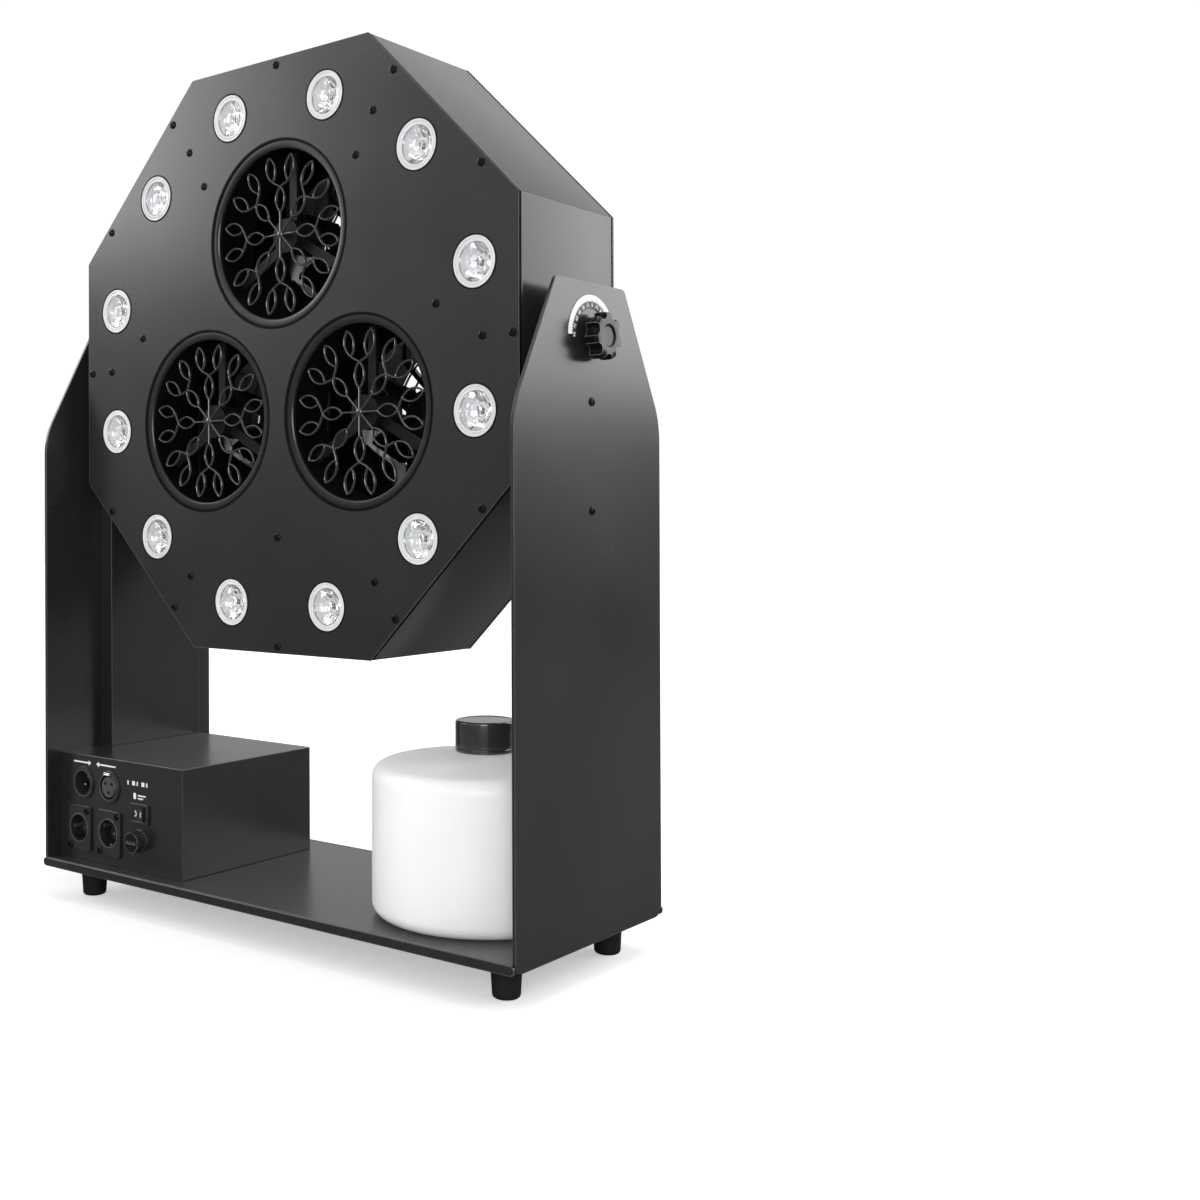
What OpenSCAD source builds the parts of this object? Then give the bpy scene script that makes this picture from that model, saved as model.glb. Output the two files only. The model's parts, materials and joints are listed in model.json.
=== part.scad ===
// Stage fog and bubble machine. An octagonal head with three blowing wand
// wheels and a ring of lamps tilts between the two side plates of a low frame.
// Millimetres. The origin is on the floor in the middle of the frame, +Z is up
// and the front faces -Y. The head is drawn upright, at tilt zero.

/* [Head] */
// Radius of each air outlet
outlet_r = 60; // [48:1:72]
// Width of the visible bezel round each outlet
bezel_w = 6; // [4:0.5:9]
// Sheet left between neighbouring bezels
outlet_web = 17; // [10:1:30]
// Radius of a lamp lens
lens_r = 17.5; // [13:0.5:21]
// Sheet left between a bezel and the nearest lens
lens_gap = 17.5; // [8:0.5:30]
// Distance from the lamp ring to the flat sides of the head
lamp_edge = 28.5; // [24:0.5:40]
// Depth of the head, front to back
head_d = 110; // [96:1:150]
// Thickness of the head's sheet metal
head_t = 1.5; // [1:0.1:2]

/* [Frame] */
// Thickness of the side plates
plate_t = 2.6; // [2:0.1:4]
// Depth of the side plates, front to back
plate_d = 170; // [142:1:210]
// Gap between the head and each side plate
side_gap = 14.6; // [13:0.2:24]
// Clear height between the base and the swing of the head
bay_h = 162.5; // [135:0.5:220]
// Width of the side plates at the top
plate_top_w = 80; // [66:1:100]
// Height of the side plates above the tilt axis
plate_rise = 35; // [30:1:50]
// Drop from the tilt axis to the shoulders of the side plates
shoulder_drop = 50; // [42:1:80]
// Thickness of the base sheet
base_t = 2.5; // [2:0.1:4]
// Height of the folded lips of the base
lip_h = 6.5; // [5:0.5:12]
// Height of a foot below the frame
foot_drop = 24; // [15:1:35]
// Radius of a foot at the top
foot_r = 10.5; // [8:0.5:15]

/* [Tilt pivots] */
// Radius of the journal that turns in the side plate
journal_r = 6; // [5:0.25:8]
// Radial running clearance of the journal and other plain bearings
running_gap = 0.05; // [0.02:0.01:0.1]
// Radius of the clamping stud
stud_r = 4; // [3:0.25:4.5]
// Outer radius of the star knob
knob_r = 15.5; // [12:0.5:18]
// Length of the star knob's head along the axis
knob_l = 10; // [7:0.5:16]
// Outer radius of the tilt dial
dial_r = 27; // [23:0.5:32]
// Inner radius of the tilt dial
dial_inner_r = 18.5; // [18.5:0.5:20]

/* [Control box] */
// Width of the control box
box_w = 144; // [138:1:175]
// Depth of the control box
box_d = 134; // [120:1:160]
// Height of the control box
box_h = 81.5; // [78:0.5:110]
// Set-back of the control box behind the front edge of the side plates
box_setback = 12.5; // [8:0.5:25]
// Thickness of the control box sheet
box_t = 1.2; // [1:0.1:1.6]
// Radius of the data connectors' barrels
data_r = 9.5; // [8.5:0.25:10.5]
// Width of a mains connector's flange
mains_w = 27; // [25:0.5:30]
// Height of a mains connector's flange
mains_h = 35; // [32:0.5:38]
// Width of the rocker switch bezel
switch_w = 21; // [18:0.5:24]
// Height of the rocker switch bezel
switch_h = 15.5; // [13:0.5:17]
// Radius of the fuse cap
fuse_cap_r = 8; // [6.8:0.25:9]

/* [Fluid bottle] */
// Radius of the bottle
bottle_r = 77; // [64:1:93]
// Height of the bottle's wall up to its shoulder
bottle_wall_h = 100; // [70:1:120]
// Rise of the bottle's top from the shoulder to the neck
bottle_dome_h = 8; // [6:0.5:14]
// Radius of the bottle's screw cap
cap_r = 20.5; // [17:0.5:24]
// Height of the screw cap
cap_h = 21; // [17:0.5:25]
// Wall of the bottle
bottle_t = 2; // [1.5:0.1:3]
// Gap between the bottle and the right side plate
bottle_gap = 7.5; // [5:0.5:20]

/* [Hidden] */
$fn = 64;

// The gap kept between two parts that only pass each other
air = 0.4;
// The slack of a screw in its hole
screw_slack = 0.2;

// Screws: M3 pan heads in the sheet metal, M5 in the feet
m3_r = 1.5;
m3_head_r = 2.9;
m3_head_h = 1.3;
m3_nut_h = 2.4;
m5_r = 2.5;
m5_head_r = 4.4;
m5_head_h = 3.4;

// Head layout, on the tilt axis
bezel_r = outlet_r + bezel_w;
outlet_pitch_r = (bezel_r + outlet_web / 2) / cos(30);
lens_reach = bezel_r + lens_r + lens_gap;
lamp_ring_r = outlet_pitch_r * cos(15) + sqrt(pow(lens_reach, 2) - pow(outlet_pitch_r * sin(15), 2));
head_w = 2 * (lamp_ring_r + lamp_edge);
half_facet = head_w / 2 * tan(22.5);
face_y = -head_d / 2;
back_y = head_d / 2;
panel_back_y = face_y + head_t;
shell_flange_w = lamp_edge - lens_r - 0.5;
swing_r = norm([head_w / 2, head_d / 2]);
outlet_angles = [90, 210, 330];
lamp_angles = [for (k = [0:11]) 15 + 30 * k];

// Frame layout
inner_x = head_w / 2 + side_gap;
outer_x = inner_x + plate_t;
frame_bottom_z = foot_drop;
base_z = frame_bottom_z + lip_h;
pivot_z = base_z + bay_h + swing_r;
plate_top_z = pivot_z + plate_rise;
shoulder_r = 55;
plate_corner_r = 8;
lip_t = 2;
foot_x = inner_x - 24;
foot_y = plate_d / 2 - 27;
foot_top_z = base_z - base_t;
foot_taper = 1.5;
foot_edge_r = 2.5;
foot_well_r = m5_head_r + 0.6;
foot_web = 8;

// Ducts that carry the wiring and the fluid line up the side plates
duct_depth = side_gap - 2;
duct_t = 1.2;
duct_front_y = -31.5;
duct_back_y = 62;
duct_top_z = pivot_z - 28;
bottle_clear = 15;
duct_boss_r = 4;
duct_screw_drops = [41, 110.5];

// Pivots: a flanged bush on the head, its journal through the side plate, a stud knob in it
bush_flange_r = 19;
bush_flange_t = 2;
bush_sleeve_r = 12;
bush_spigot_r = 10;
bush_spigot_l = 6;
knob_neck_r = 8;
knob_neck_l = 3.2;
knob_lobes = 7;
knob_lobe_r = 4.2;
stud_l = 20;
dial_t = 0.6;

// Control box layout: connector places count from the top left corner of its front
box_left_x = -inner_x;
box_right_x = box_left_x + box_w;
box_front_y = -plate_d / 2 + box_setback;
box_back_y = box_front_y + box_d;
box_top_z = base_z + box_h;
data_in_place = [29.5, 22];
data_out_place = [60.5, 22];
mains_in_place = [26, 57];
mains_out_place = [61.5, 57];
switch_place = [97, 38];
fuse_place = [97, 58];

data_flange_r = data_r + 3.2;
data_body_l = 22;
data_flange_t = 1.4;
data_wall = 1.1;
data_cup_depth = 15;
data_core_r = data_r - 1.6;
contact_ring_r = 4.4;
contact_r = 1.2;
contact_recess = 5;
latch_w = 7;
latch_h = 2.2;
latch_l = 6;
latch_travel = 1.2;
latch_proud = 1.6;
latch_z = data_r + latch_h / 2 - 0.4;

mains_flange_t = 2;
mains_well_r = 10.5;
mains_well_depth = 18;
mains_body_r = 12;
mains_body_l = 24;
mains_core_r = 6.5;
mains_core_recess = 5.5;
mains_screw_dx = 10;
mains_screw_dy = 14;
mains_contact_ring_r = 3.6;
mains_contact_r = 1.1;

switch_flange_t = 1.8;
switch_body_l = 15;
switch_rim = 2;
rocker_angle = 9;
rocker_axis_y = 3;

fuse_body_r = 6.3;
fuse_body_l = 30;
fuse_flange_r = 8.6;
fuse_flange_t = 1.6;
fuse_cap_l = 7.5;
fuse_carrier_r = 4.9;
fuse_carrier_l = 12;
fuse_r = 2.6;
fuse_l = 20;

// Units inside the control box
unit_gap = 4;
supply_w = 84;
supply_h = 36;
supply_front_y = box_front_y + 34;
supply_back_y = box_back_y - box_t - unit_gap;
supply_slots = 6;
supply_slot_w = 5;
supply_slot_pitch = 11;
supply_slot_depth = 3;
board_t = 1.6;
board_lift = 10;
board_inset = 2;
board_post_r = 2.5;
board_post_in = 6;
relay_size = [22, 18, 17];
chip_size = [16, 16, 4];
capacitor_r = 4.5;
capacitor_h = 15;
capacitor_pitch = 13;
pump_in = 28;
pump_axis_h = 20;
pump_foot = [28, 50, 6];
pump_motor_r = 14;
pump_motor_l = 44;
pump_head_r = 18;
pump_head_l = 23;
barb_r = 2.5;
barb_l = 16;
barb_dx = 8;
barb_dz = 6;

// Bottle layout
bottle_x = inner_x - bottle_gap - bottle_r;
bottle_y = 2;
bottle_foot_r = 17;
bottle_shoulder_r = 14;
bottle_h = bottle_wall_h + bottle_dome_h + cap_h;
cap_wall = 1.8;
cap_bottom_z = base_z + bottle_h - cap_h;
cap_top_z = base_z + bottle_h;
neck_r = cap_r - cap_wall - air;
liner_t = 1.2;
neck_top_z = cap_top_z - cap_wall - liner_t;

// Wand wheels, their motors and the fans behind them
wand_front_y = face_y + 3.5;
wand_t = 2.6;
wand_gap = 2.4;
wand_r = outlet_r - wand_gap;
wand_hub_r = 3.4;
wand_wire = 2;
wand_swell = 0.05;
wand_spokes = 8;
branch_angle = 90 / wand_spokes;
inner_leaf_r = 0.26 * wand_r;
inner_leaf_l = 0.33 * wand_r;
outer_leaf_r = 0.68 * wand_r;
leaf_w = 0.2 * wand_r;
shaft_r = 1.5;
bezel_flange_r = bezel_r + 6;
bezel_flange_t = 2;
barrel_t = 2;
barrel_back_y = panel_back_y + 34;
motor_front_y = wand_front_y + wand_t + 3;
motor_r = 12;
motor_l = 26;
motor_arm_w = 7;
motor_arm_t = 3;
fan_size = 2 * outlet_r;
fan_depth = 38;
fan_front_y = back_y - head_t - fan_depth;
fan_bore_r = fan_size / 2 - 2.5;
fan_flange_t = 4;
fan_barrel_t = 1.5;
fan_hub_r = 21;
fan_blades = 7;
fan_blade_t = 1.6;
fan_blade_pitch = 38;
fan_tip_gap = 1.2;
fan_hole_offset = fan_size / 2 - 7.5;
guard_wire = 1.8;
guard_rings = 6;

// Lamps: a moulded lens over a board on a round heat sink
lens_rim_t = 3;
lens_depth = 15;
lens_tip_r = 6.5;
lens_slack = 0.3;
lamp_board_t = 1.6;
lamp_sink_l = 12;
lamp_sink_r = lens_r - 1;
lamp_board_r = lens_r - 2;

// Internal units of the head, centred on [x, z] from the tilt axis
heater_size = [104, 62, 36];
heater_gap = 10.4;
heater_place = [0, heater_gap + heater_size[2] / 2 + lamp_sink_r - lamp_ring_r * sin(75)];
heater_front_y = -28;
heater_foot = [16, 12];
spigot_r = 4;
spigot_l = 10;
spigot_dx = 30;
spigot_dz = 6;
manifold_r = 11;
manifold_l = 30;
manifold_gap = 2;
manifold_barb_r = 2.2;
manifold_barb_l = 7;

// ---- Helpers ----

// Corner p of an outline rounded with radius r, between the points a and b
function unit(v) = v / norm(v);
function corner(a, p, b, r, n = 10) =
  let (
    u = unit(a - p), v = unit(b - p), half = acos(u * v) / 2,
    c = p + unit(u + v) * r / sin(half),
    s = p + u * r / tan(half) - c, e = p + v * r / tan(half) - c,
    from = atan2(s[1], s[0]), turn = atan2(s[0] * e[1] - s[1] * e[0], s * e)
  ) [for (i = [0:n]) c + r * [cos(from + turn * i / n), sin(from + turn * i / n)]];

// Outline through the points, each rounded with its own radius
function rounded(points, radii) =
  let (n = len(points))
  [for (i = [0:n - 1]) each corner(points[(i + n - 1) % n], points[i], points[(i + 1) % n], radii[i])];

// Rectangle round the origin with rounded corners
module rounded_rect(w, h, r) {
  polygon(rounded([[-w / 2, -h / 2], [w / 2, -h / 2], [w / 2, h / 2], [-w / 2, h / 2]], [r, r, r, r]));
}

// A front-view drawing (x, z) made solid from y0 back to y1
module slab(y0, y1) translate([0, y1, 0]) rotate([90, 0, 0]) linear_extrude(y1 - y0) children();

// A side-view drawing (y, z) made solid from x0 to x1
module side_slab(x0, x1) translate([x0, 0, 0]) rotate([90, 0, 90]) linear_extrude(x1 - x0) children();

// A rod along Y from y0 to y1, at [x, z]
module rod(y0, y1, r, at = [0, 0]) translate([at[0], y1, at[1]]) rotate([90, 0, 0]) cylinder(h = y1 - y0, r = r);

// A rod along X from x0 to x1, at [y, z]
module cross_rod(x0, x1, r, at = [0, 0])
  translate([x0, at[0], at[1]]) rotate([0, 90, 0]) cylinder(h = x1 - x0, r = r);

// A plain block between two corners
module block(a, b) translate(a) cube(b - a);

// Octagon with two level sides, given across its flats
module octagon(flats) rotate(22.5) circle(r = flats / 2 / cos(22.5), $fn = 8);

module at_head() translate([0, 0, pivot_z]) children();
module at_outlet(k) at_head() translate(outlet_place(k)) children();
module at_box(place) translate([box_left_x + place[0], box_front_y, box_top_z - place[1]]) children();

// What is drawn for the right side, put on side 1, the right, or -1, the left
module on_side(side) {
  if (side > 0) children();
  else mirror([1, 0, 0]) children();
}

function outlet_place(k) = outlet_pitch_r * [cos(outlet_angles[k]), 0, sin(outlet_angles[k])];
function polar(r, a) = r * [cos(a), sin(a)];

// ---- Frame ----

module base_plate() color("#26272b") {
  difference() {
    union() {
      block([-inner_x, -plate_d / 2, base_z - base_t], [inner_x, plate_d / 2, base_z]);
      for (side = [-1, 1]) on_side(side)
        block([inner_x - base_t, -plate_d / 2, frame_bottom_z], [inner_x, plate_d / 2, base_z]);
      for (y = [-plate_d / 2 - lip_t, plate_d / 2]) slab(y, y + lip_t) base_lip();
    }
    for (x = [-foot_x, foot_x], y = [-foot_y, foot_y])
      translate([x, y, base_z - base_t - 1]) cylinder(h = base_t + 2, r = m5_r + screw_slack);
  }
}

// Front view of a folded lip, rounded at its ends
module base_lip() {
  r = lip_h / 2 - 0.2;
  polygon(rounded(
    [[-outer_x, frame_bottom_z], [outer_x, frame_bottom_z], [outer_x, base_z], [-outer_x, base_z]],
    [r, r, r, r]));
}

module side_plate(side) color("#26272b") on_side(side) {
  difference() {
    side_slab(inner_x, outer_x) plate_outline();
    cross_rod(inner_x - 1, outer_x + 1, journal_r + running_gap, [0, pivot_z]);
    for (drop = duct_screw_drops)
      cross_rod(inner_x - 1, outer_x + 1, m3_r + screw_slack, [0, pivot_z - drop]);
  }
}

module plate_outline() {
  half = plate_d / 2;
  top = plate_top_w / 2;
  shoulder_z = pivot_z - shoulder_drop;
  polygon(rounded(
    [[-half, frame_bottom_z], [half, frame_bottom_z], [half, shoulder_z],
     [top, plate_top_z], [-top, plate_top_z], [-half, shoulder_z]],
    [plate_corner_r, plate_corner_r, shoulder_r, 5, 5, shoulder_r]));
}

module foot(sx, sy) color("#161617") translate([sx * foot_x, sy * foot_y, 0])
  rotate_extrude() polygon(concat(
    [[foot_well_r, 0]],
    corner([foot_well_r, 0], [foot_r - foot_taper, 0], [foot_r, foot_top_z], foot_edge_r),
    [[foot_r, foot_top_z], [m5_r + screw_slack, foot_top_z],
     [m5_r + screw_slack, foot_top_z - foot_web], [foot_well_r, foot_top_z - foot_web]]));

module foot_screws() color("#8b8d90")
  for (x = [-foot_x, foot_x], y = [-foot_y, foot_y]) translate([x, y, 0]) {
    translate([0, 0, foot_top_z - foot_web]) cylinder(h = foot_web + base_t, r = m5_r);
    translate([0, 0, foot_top_z - foot_web - m5_head_h]) cylinder(h = m5_head_h, r = m5_head_r);
  }

// Channel on the inside of a side plate, open towards the plate, from z0 up to its top
module duct(side, z0) color("#2b2c30") on_side(side) {
  x0 = inner_x - duct_depth;
  difference() {
    union() {
      difference() {
        block([x0, duct_front_y, z0], [inner_x, duct_back_y, duct_top_z]);
        block([x0 + duct_t, duct_front_y + duct_t, z0 - 1],
              [inner_x + 1, duct_back_y - duct_t, duct_top_z - duct_t]);
      }
      for (drop = duct_screw_drops)
        cross_rod(x0 + duct_t / 2, inner_x, duct_boss_r, [0, pivot_z - drop]);
    }
    for (drop = duct_screw_drops)
      cross_rod(x0 + duct_t, inner_x + 1, m3_r + running_gap, [0, pivot_z - drop]);
  }
}

// One M3 pan head screw, its head standing out of the face along -Y
module m3_screw(l) {
  rod(0, l, m3_r);
  translate([0, -m3_head_h, 0]) rotate([-90, 0, 0]) cylinder(h = m3_head_h, r1 = m3_head_r - 0.5, r2 = m3_head_r);
}

// The screws of the ducts and of the mains connectors
module frame_screws() color("#151517") {
  for (side = [-1, 1], drop = duct_screw_drops) on_side(side)
    translate([outer_x, 0, pivot_z - drop]) rotate([0, 0, 90]) m3_screw(plate_t + 8);
  for (place = [mains_in_place, mains_out_place], s = [-1, 1])
    at_box(place) translate([s * mains_screw_dx, -mains_flange_t, s * mains_screw_dy])
      m3_screw(mains_flange_t + box_t + 5);
}

module dial(side) color("#e9e9e6") on_side(side)
  translate([outer_x, 0, pivot_z]) rotate([90, 0, 90]) linear_extrude(dial_t) difference() {
    circle(r = dial_r);
    circle(r = dial_inner_r);
    translate([-dial_r - 1, -2 * dial_r - 2]) square([2 * dial_r + 2, 2 * dial_r]);
  }

// Star knob with its stud, which screws into the bush of the head
module knob(side) color("#141415") on_side(side) {
  neck_x = outer_x + air;
  head_x = neck_x + knob_neck_l;
  cross_rod(neck_x - stud_l, head_x, stud_r, [0, pivot_z]);
  cross_rod(neck_x, head_x, knob_neck_r, [0, pivot_z]);
  cross_rod(head_x, head_x + knob_l, knob_r - knob_lobe_r, [0, pivot_z]);
  for (k = [1:knob_lobes])
    cross_rod(head_x, head_x + knob_l, knob_lobe_r,
              polar(knob_r - knob_lobe_r, 360 * k / knob_lobes) + [0, pivot_z]);
}

module pivot_bush(side) color("#9b9da1") on_side(side) difference() {
  union() {
    cross_rod(head_w / 2 - bush_spigot_l, head_w / 2 + 0.1, bush_spigot_r, [0, pivot_z]);
    cross_rod(head_w / 2, head_w / 2 + bush_flange_t, bush_flange_r, [0, pivot_z]);
    cross_rod(head_w / 2, inner_x - air, bush_sleeve_r, [0, pivot_z]);
    cross_rod(head_w / 2, outer_x, journal_r, [0, pivot_z]);
  }
  cross_rod(head_w / 2 - bush_spigot_l - 1, outer_x + 1, stud_r + running_gap, [0, pivot_z]);
}

// ---- Control box ----

module control_box() color("#2a2b2f") difference() {
  block([box_left_x, box_front_y, base_z], [box_right_x, box_back_y, box_top_z]);
  block([box_left_x + box_t, box_front_y + box_t, base_z - 1],
        [box_right_x - box_t, box_back_y - box_t, box_top_z - box_t]);
  at_box(data_in_place) rod(-1, box_t + 1, data_r + data_wall + screw_slack);
  at_box(data_out_place) {
    rod(-1, box_t + 1, data_r + data_wall + screw_slack);
    latch_slot(-1);
  }
  for (place = [mains_in_place, mains_out_place]) at_box(place) {
    rod(-1, box_t + 1, mains_body_r + screw_slack);
    for (s = [-1, 1]) rod(-1, box_t + 1, m3_r + screw_slack, s * [mains_screw_dx, mains_screw_dy]);
  }
  at_box(switch_place) slab(-1, box_t + 1)
    square([switch_w - 2 * switch_rim + screw_slack, switch_h - 2 * switch_rim + screw_slack], center = true);
  at_box(fuse_place) rod(-1, box_t + 1, fuse_body_r + screw_slack);
}

// Three-pin data inlet: a cup whose pins stand on its floor
module data_inlet() color("#1b1b1d") at_box(data_in_place) difference() {
  union() {
    rod(-data_flange_t, 0, data_flange_r);
    rod(-data_flange_t, data_body_l, data_r + data_wall);
  }
  rod(-data_flange_t - 1, data_cup_depth, data_r);
  for (p = contacts(contact_ring_r)) rod(data_cup_depth - 1, data_body_l + 1, contact_r, p);
}

// Three-hole data outlet: a core inside a ring-shaped socket, with a pocket for the latch
module data_outlet() color("#1b1b1d") at_box(data_out_place) difference() {
  union() {
    rod(-data_flange_t, 0, data_flange_r);
    rod(-data_flange_t, data_body_l, data_r + data_wall);
  }
  difference() {
    rod(-data_flange_t - 1, data_cup_depth, data_r);
    rod(-data_flange_t + 0.6, data_cup_depth + 1, data_core_r);
  }
  for (p = contacts(contact_ring_r)) rod(-data_flange_t - 1, data_cup_depth, 1.5 * contact_r, -p);
  latch_slot(-data_flange_t - 1);
}

// Room for the latch above the core of the data outlet, from y0 back
module latch_slot(y0) translate([0, 0, latch_z]) slab(y0, latch_l + air)
  square([latch_w + 2 * air, latch_h + 2 * air], center = true);

function contacts(r) = [for (a = [90, 210, 330]) polar(r, a)];

// The sprung release of the data outlet, pressed in to free the plug
module outlet_latch() color("#b9babd") at_box(data_out_place)
  translate([0, 0, latch_z]) slab(-data_flange_t - latch_proud, latch_l - latch_travel)
    rounded_rect(latch_w, latch_h, 0.6);

// Round locking mains connector in a flange with two diagonal screws
module mains_connector(place, key) color("#202124") at_box(place) difference() {
  union() {
    slab(-mains_flange_t, 0) rounded_rect(mains_w, mains_h, 2.5);
    rod(-mains_flange_t, mains_body_l, mains_body_r);
  }
  difference() {
    rod(-mains_flange_t - 1, mains_well_depth, mains_well_r);
    rod(mains_core_recess, mains_well_depth + 1, mains_core_r);
    for (a = key) rotate([0, a, 0]) translate([mains_well_r - 1.2, 0, 0])
      slab(0, mains_well_depth + 1) square([2.6, 3], center = true);
  }
  for (p = contacts(mains_contact_ring_r))
    rod(mains_core_recess - 1, mains_body_l + 1, mains_contact_r, p);
  for (s = [-1, 1]) rod(-mains_flange_t - 1, 1, m3_r + screw_slack, s * [mains_screw_dx, mains_screw_dy]);
}

// The metal contacts of the data inlet and of both mains connectors
module contact_pins() color("#c9b27a") {
  at_box(data_in_place) for (p = contacts(contact_ring_r))
    rod(-data_flange_t + contact_recess, data_body_l + 3, contact_r, p);
  for (place = [mains_in_place, mains_out_place]) at_box(place)
    for (p = contacts(mains_contact_ring_r)) rod(mains_core_recess + 0.5, mains_body_l + 4, mains_contact_r, p);
}

module switch_frame() color("#18181a") at_box(switch_place) difference() {
  union() {
    slab(-switch_flange_t, 0) rounded_rect(switch_w, switch_h, 1.2);
    slab(0, switch_body_l) square([switch_w - 2 * switch_rim, switch_h - 2 * switch_rim], center = true);
  }
  slab(-switch_flange_t - 1, switch_body_l - 2)
    square([switch_w - 2 * switch_rim - 2, switch_h - 2 * switch_rim - 1], center = true);
  translate([0, rocker_axis_y, -switch_h / 2 + 0.8]) cylinder(h = switch_h - 1.6, r = 1.1);
}

// The rocker turns on its own pin, upright in the switch frame
module switch_rocker() color("#202023") at_box(switch_place) {
  half_w = switch_w / 2 - switch_rim - 1 - air;
  half_h = switch_h / 2 - switch_rim - 0.5 - air;
  translate([0, rocker_axis_y, 0]) rotate([0, 0, -rocker_angle]) {
    translate([0, 0, -half_h]) linear_extrude(2 * half_h) polygon([
      [-half_w + 1.2, 3], [half_w - 1.2, 3], [half_w - 0.6, -5.6], [0, -4.2], [-half_w + 0.6, -5.6]]);
    translate([0, 0, -half_h - 0.9]) cylinder(h = 2 * half_h + 1.8, r = 1.1 - running_gap);
  }
}

module fuse_holder() color("#18181a") at_box(fuse_place) difference() {
  union() {
    rod(-fuse_flange_t, 0, fuse_flange_r);
    rod(-fuse_flange_t, fuse_body_l, fuse_body_r);
  }
  rod(-fuse_flange_t - 1, fuse_body_l - 2, fuse_carrier_r + air);
}

// Fuse cap with the sleeve that grips the front end of the fuse
module fuse_cap() color("#1d1d1f") at_box(fuse_place) difference() {
  union() {
    rod(-fuse_flange_t - air - fuse_cap_l, -fuse_flange_t - air, fuse_cap_r - 0.8);
    for (k = [1:8]) rod(-fuse_flange_t - air - fuse_cap_l + 1, -fuse_flange_t - air - 0.6, 2.4,
                        polar(fuse_cap_r - 2.4, 45 * k));
    rod(-fuse_flange_t - air - 1, -fuse_flange_t + fuse_carrier_l, fuse_carrier_r);
  }
  rod(0, fuse_carrier_l + 2, fuse_r + running_gap);
  translate([0, -fuse_flange_t - air - fuse_cap_l, 0]) cube([2 * fuse_cap_r - 5, 2.4, 1.6], center = true);
}

module fuse() color("#cfd2cf") at_box(fuse_place) rod(0, fuse_l, fuse_r);

module power_supply() color("#b4b6b8") {
  x0 = box_left_x + box_t + unit_gap;
  top_z = base_z + supply_h;
  difference() {
    block([x0, supply_front_y, base_z], [x0 + supply_w, supply_back_y, top_z]);
    for (k = [0:supply_slots - 1]) {
      slot_x = x0 + supply_slot_pitch * (k + 1);
      block([slot_x - supply_slot_w / 2, supply_front_y + supply_slot_pitch, top_z - supply_slot_depth],
            [slot_x + supply_slot_w / 2, supply_back_y - supply_slot_pitch, top_z + 1]);
    }
  }
}

// Board on four posts that stand on the power supply, with a relay, a chip and capacitors
module control_board() color("#1e5b3a") {
  x0 = box_left_x + box_t + unit_gap + board_inset;
  x1 = x0 + supply_w - 2 * board_inset;
  y0 = supply_front_y + board_inset;
  y1 = supply_back_y - board_inset;
  post_z = base_z + supply_h;
  z0 = post_z + board_lift;
  top_z = z0 + board_t;
  block([x0, y0, z0], [x1, y1, top_z]);
  for (x = [x0 + board_post_in, x1 - board_post_in], y = [y0 + board_post_in, y1 - board_post_in])
    translate([x, y, post_z]) cylinder(h = board_lift + board_t / 2, r = board_post_r);
  translate([x0 + 2 * board_post_in, y0 + 2 * board_post_in, z0 + board_t / 2]) cube(relay_size);
  translate([(x0 + x1) / 2 + board_post_in, y0 + 2 * board_post_in, z0 + board_t / 2]) cube(chip_size);
  for (k = [-1.5:1.5])
    translate([(x0 + x1) / 2 + capacitor_pitch * k, (y0 + y1) / 2 + capacitor_pitch, z0 + board_t / 2])
      cylinder(h = capacitor_h, r = capacitor_r);
}

// Fluid pump: a motor behind a pump head with two hose barbs, on a foot
module fluid_pump() color("#3a3b3e") {
  x = box_right_x - pump_in;
  z = base_z + pump_axis_h;
  motor_back_y = supply_back_y - board_inset;
  head_back_y = motor_back_y - pump_motor_l + 1;
  head_front_y = head_back_y - pump_head_l;
  block([x - pump_foot[0] / 2, motor_back_y - pump_foot[1] - 10, base_z],
        [x + pump_foot[0] / 2, motor_back_y - 10, base_z + pump_foot[2] + 0.5]);
  rod(motor_back_y - pump_motor_l, motor_back_y, pump_motor_r, [x, z]);
  rod(head_front_y, head_back_y, pump_head_r, [x, z]);
  for (s = [-1, 1]) rod(head_front_y - barb_l, head_front_y + 1, barb_r, [x + s * barb_dx, z + barb_dz]);
}

// ---- Fluid bottle ----

module at_bottle() translate([bottle_x, bottle_y, 0]) children();

// Half outline of the bottle up to its neck, moved inwards by inset
function bottle_side(inset) =
  let (
    r = bottle_r - inset, z0 = base_z + inset, neck = neck_r - inset,
    wall_z = base_z + bottle_wall_h - inset, dome_z = cap_bottom_z - 1 - inset
  ) concat(
    corner([0, z0], [r, z0], [r, wall_z], bottle_foot_r - inset),
    corner([r, z0], [r, wall_z], [neck, dome_z], bottle_shoulder_r - inset),
    [[neck, dome_z]]);

module bottle() color("#f3f3f1") at_bottle() rotate_extrude($fn = 96) polygon(concat(
  [[0, base_z]], bottle_side(0), [[neck_r, neck_top_z], [neck_r - bottle_t, neck_top_z]],
  [for (i = [len(bottle_side(bottle_t)) - 1:-1:0]) bottle_side(bottle_t)[i]],
  [[0, base_z + bottle_t]]));

module cap_liner() color("#d8d8d4") at_bottle()
  translate([0, 0, neck_top_z]) cylinder(h = liner_t, r = neck_r);

module bottle_cap() color("#1a1a1c") at_bottle() difference() {
  rotate_extrude() polygon(concat(
    [[0, cap_bottom_z], [cap_r, cap_bottom_z]],
    corner([cap_r, cap_bottom_z], [cap_r, cap_top_z], [0, cap_top_z], 1.2),
    [[0, cap_top_z]]));
  translate([0, 0, cap_bottom_z - 1]) cylinder(h = cap_h - cap_wall + 1, r = neck_r + air);
}

// ---- Head ----

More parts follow.
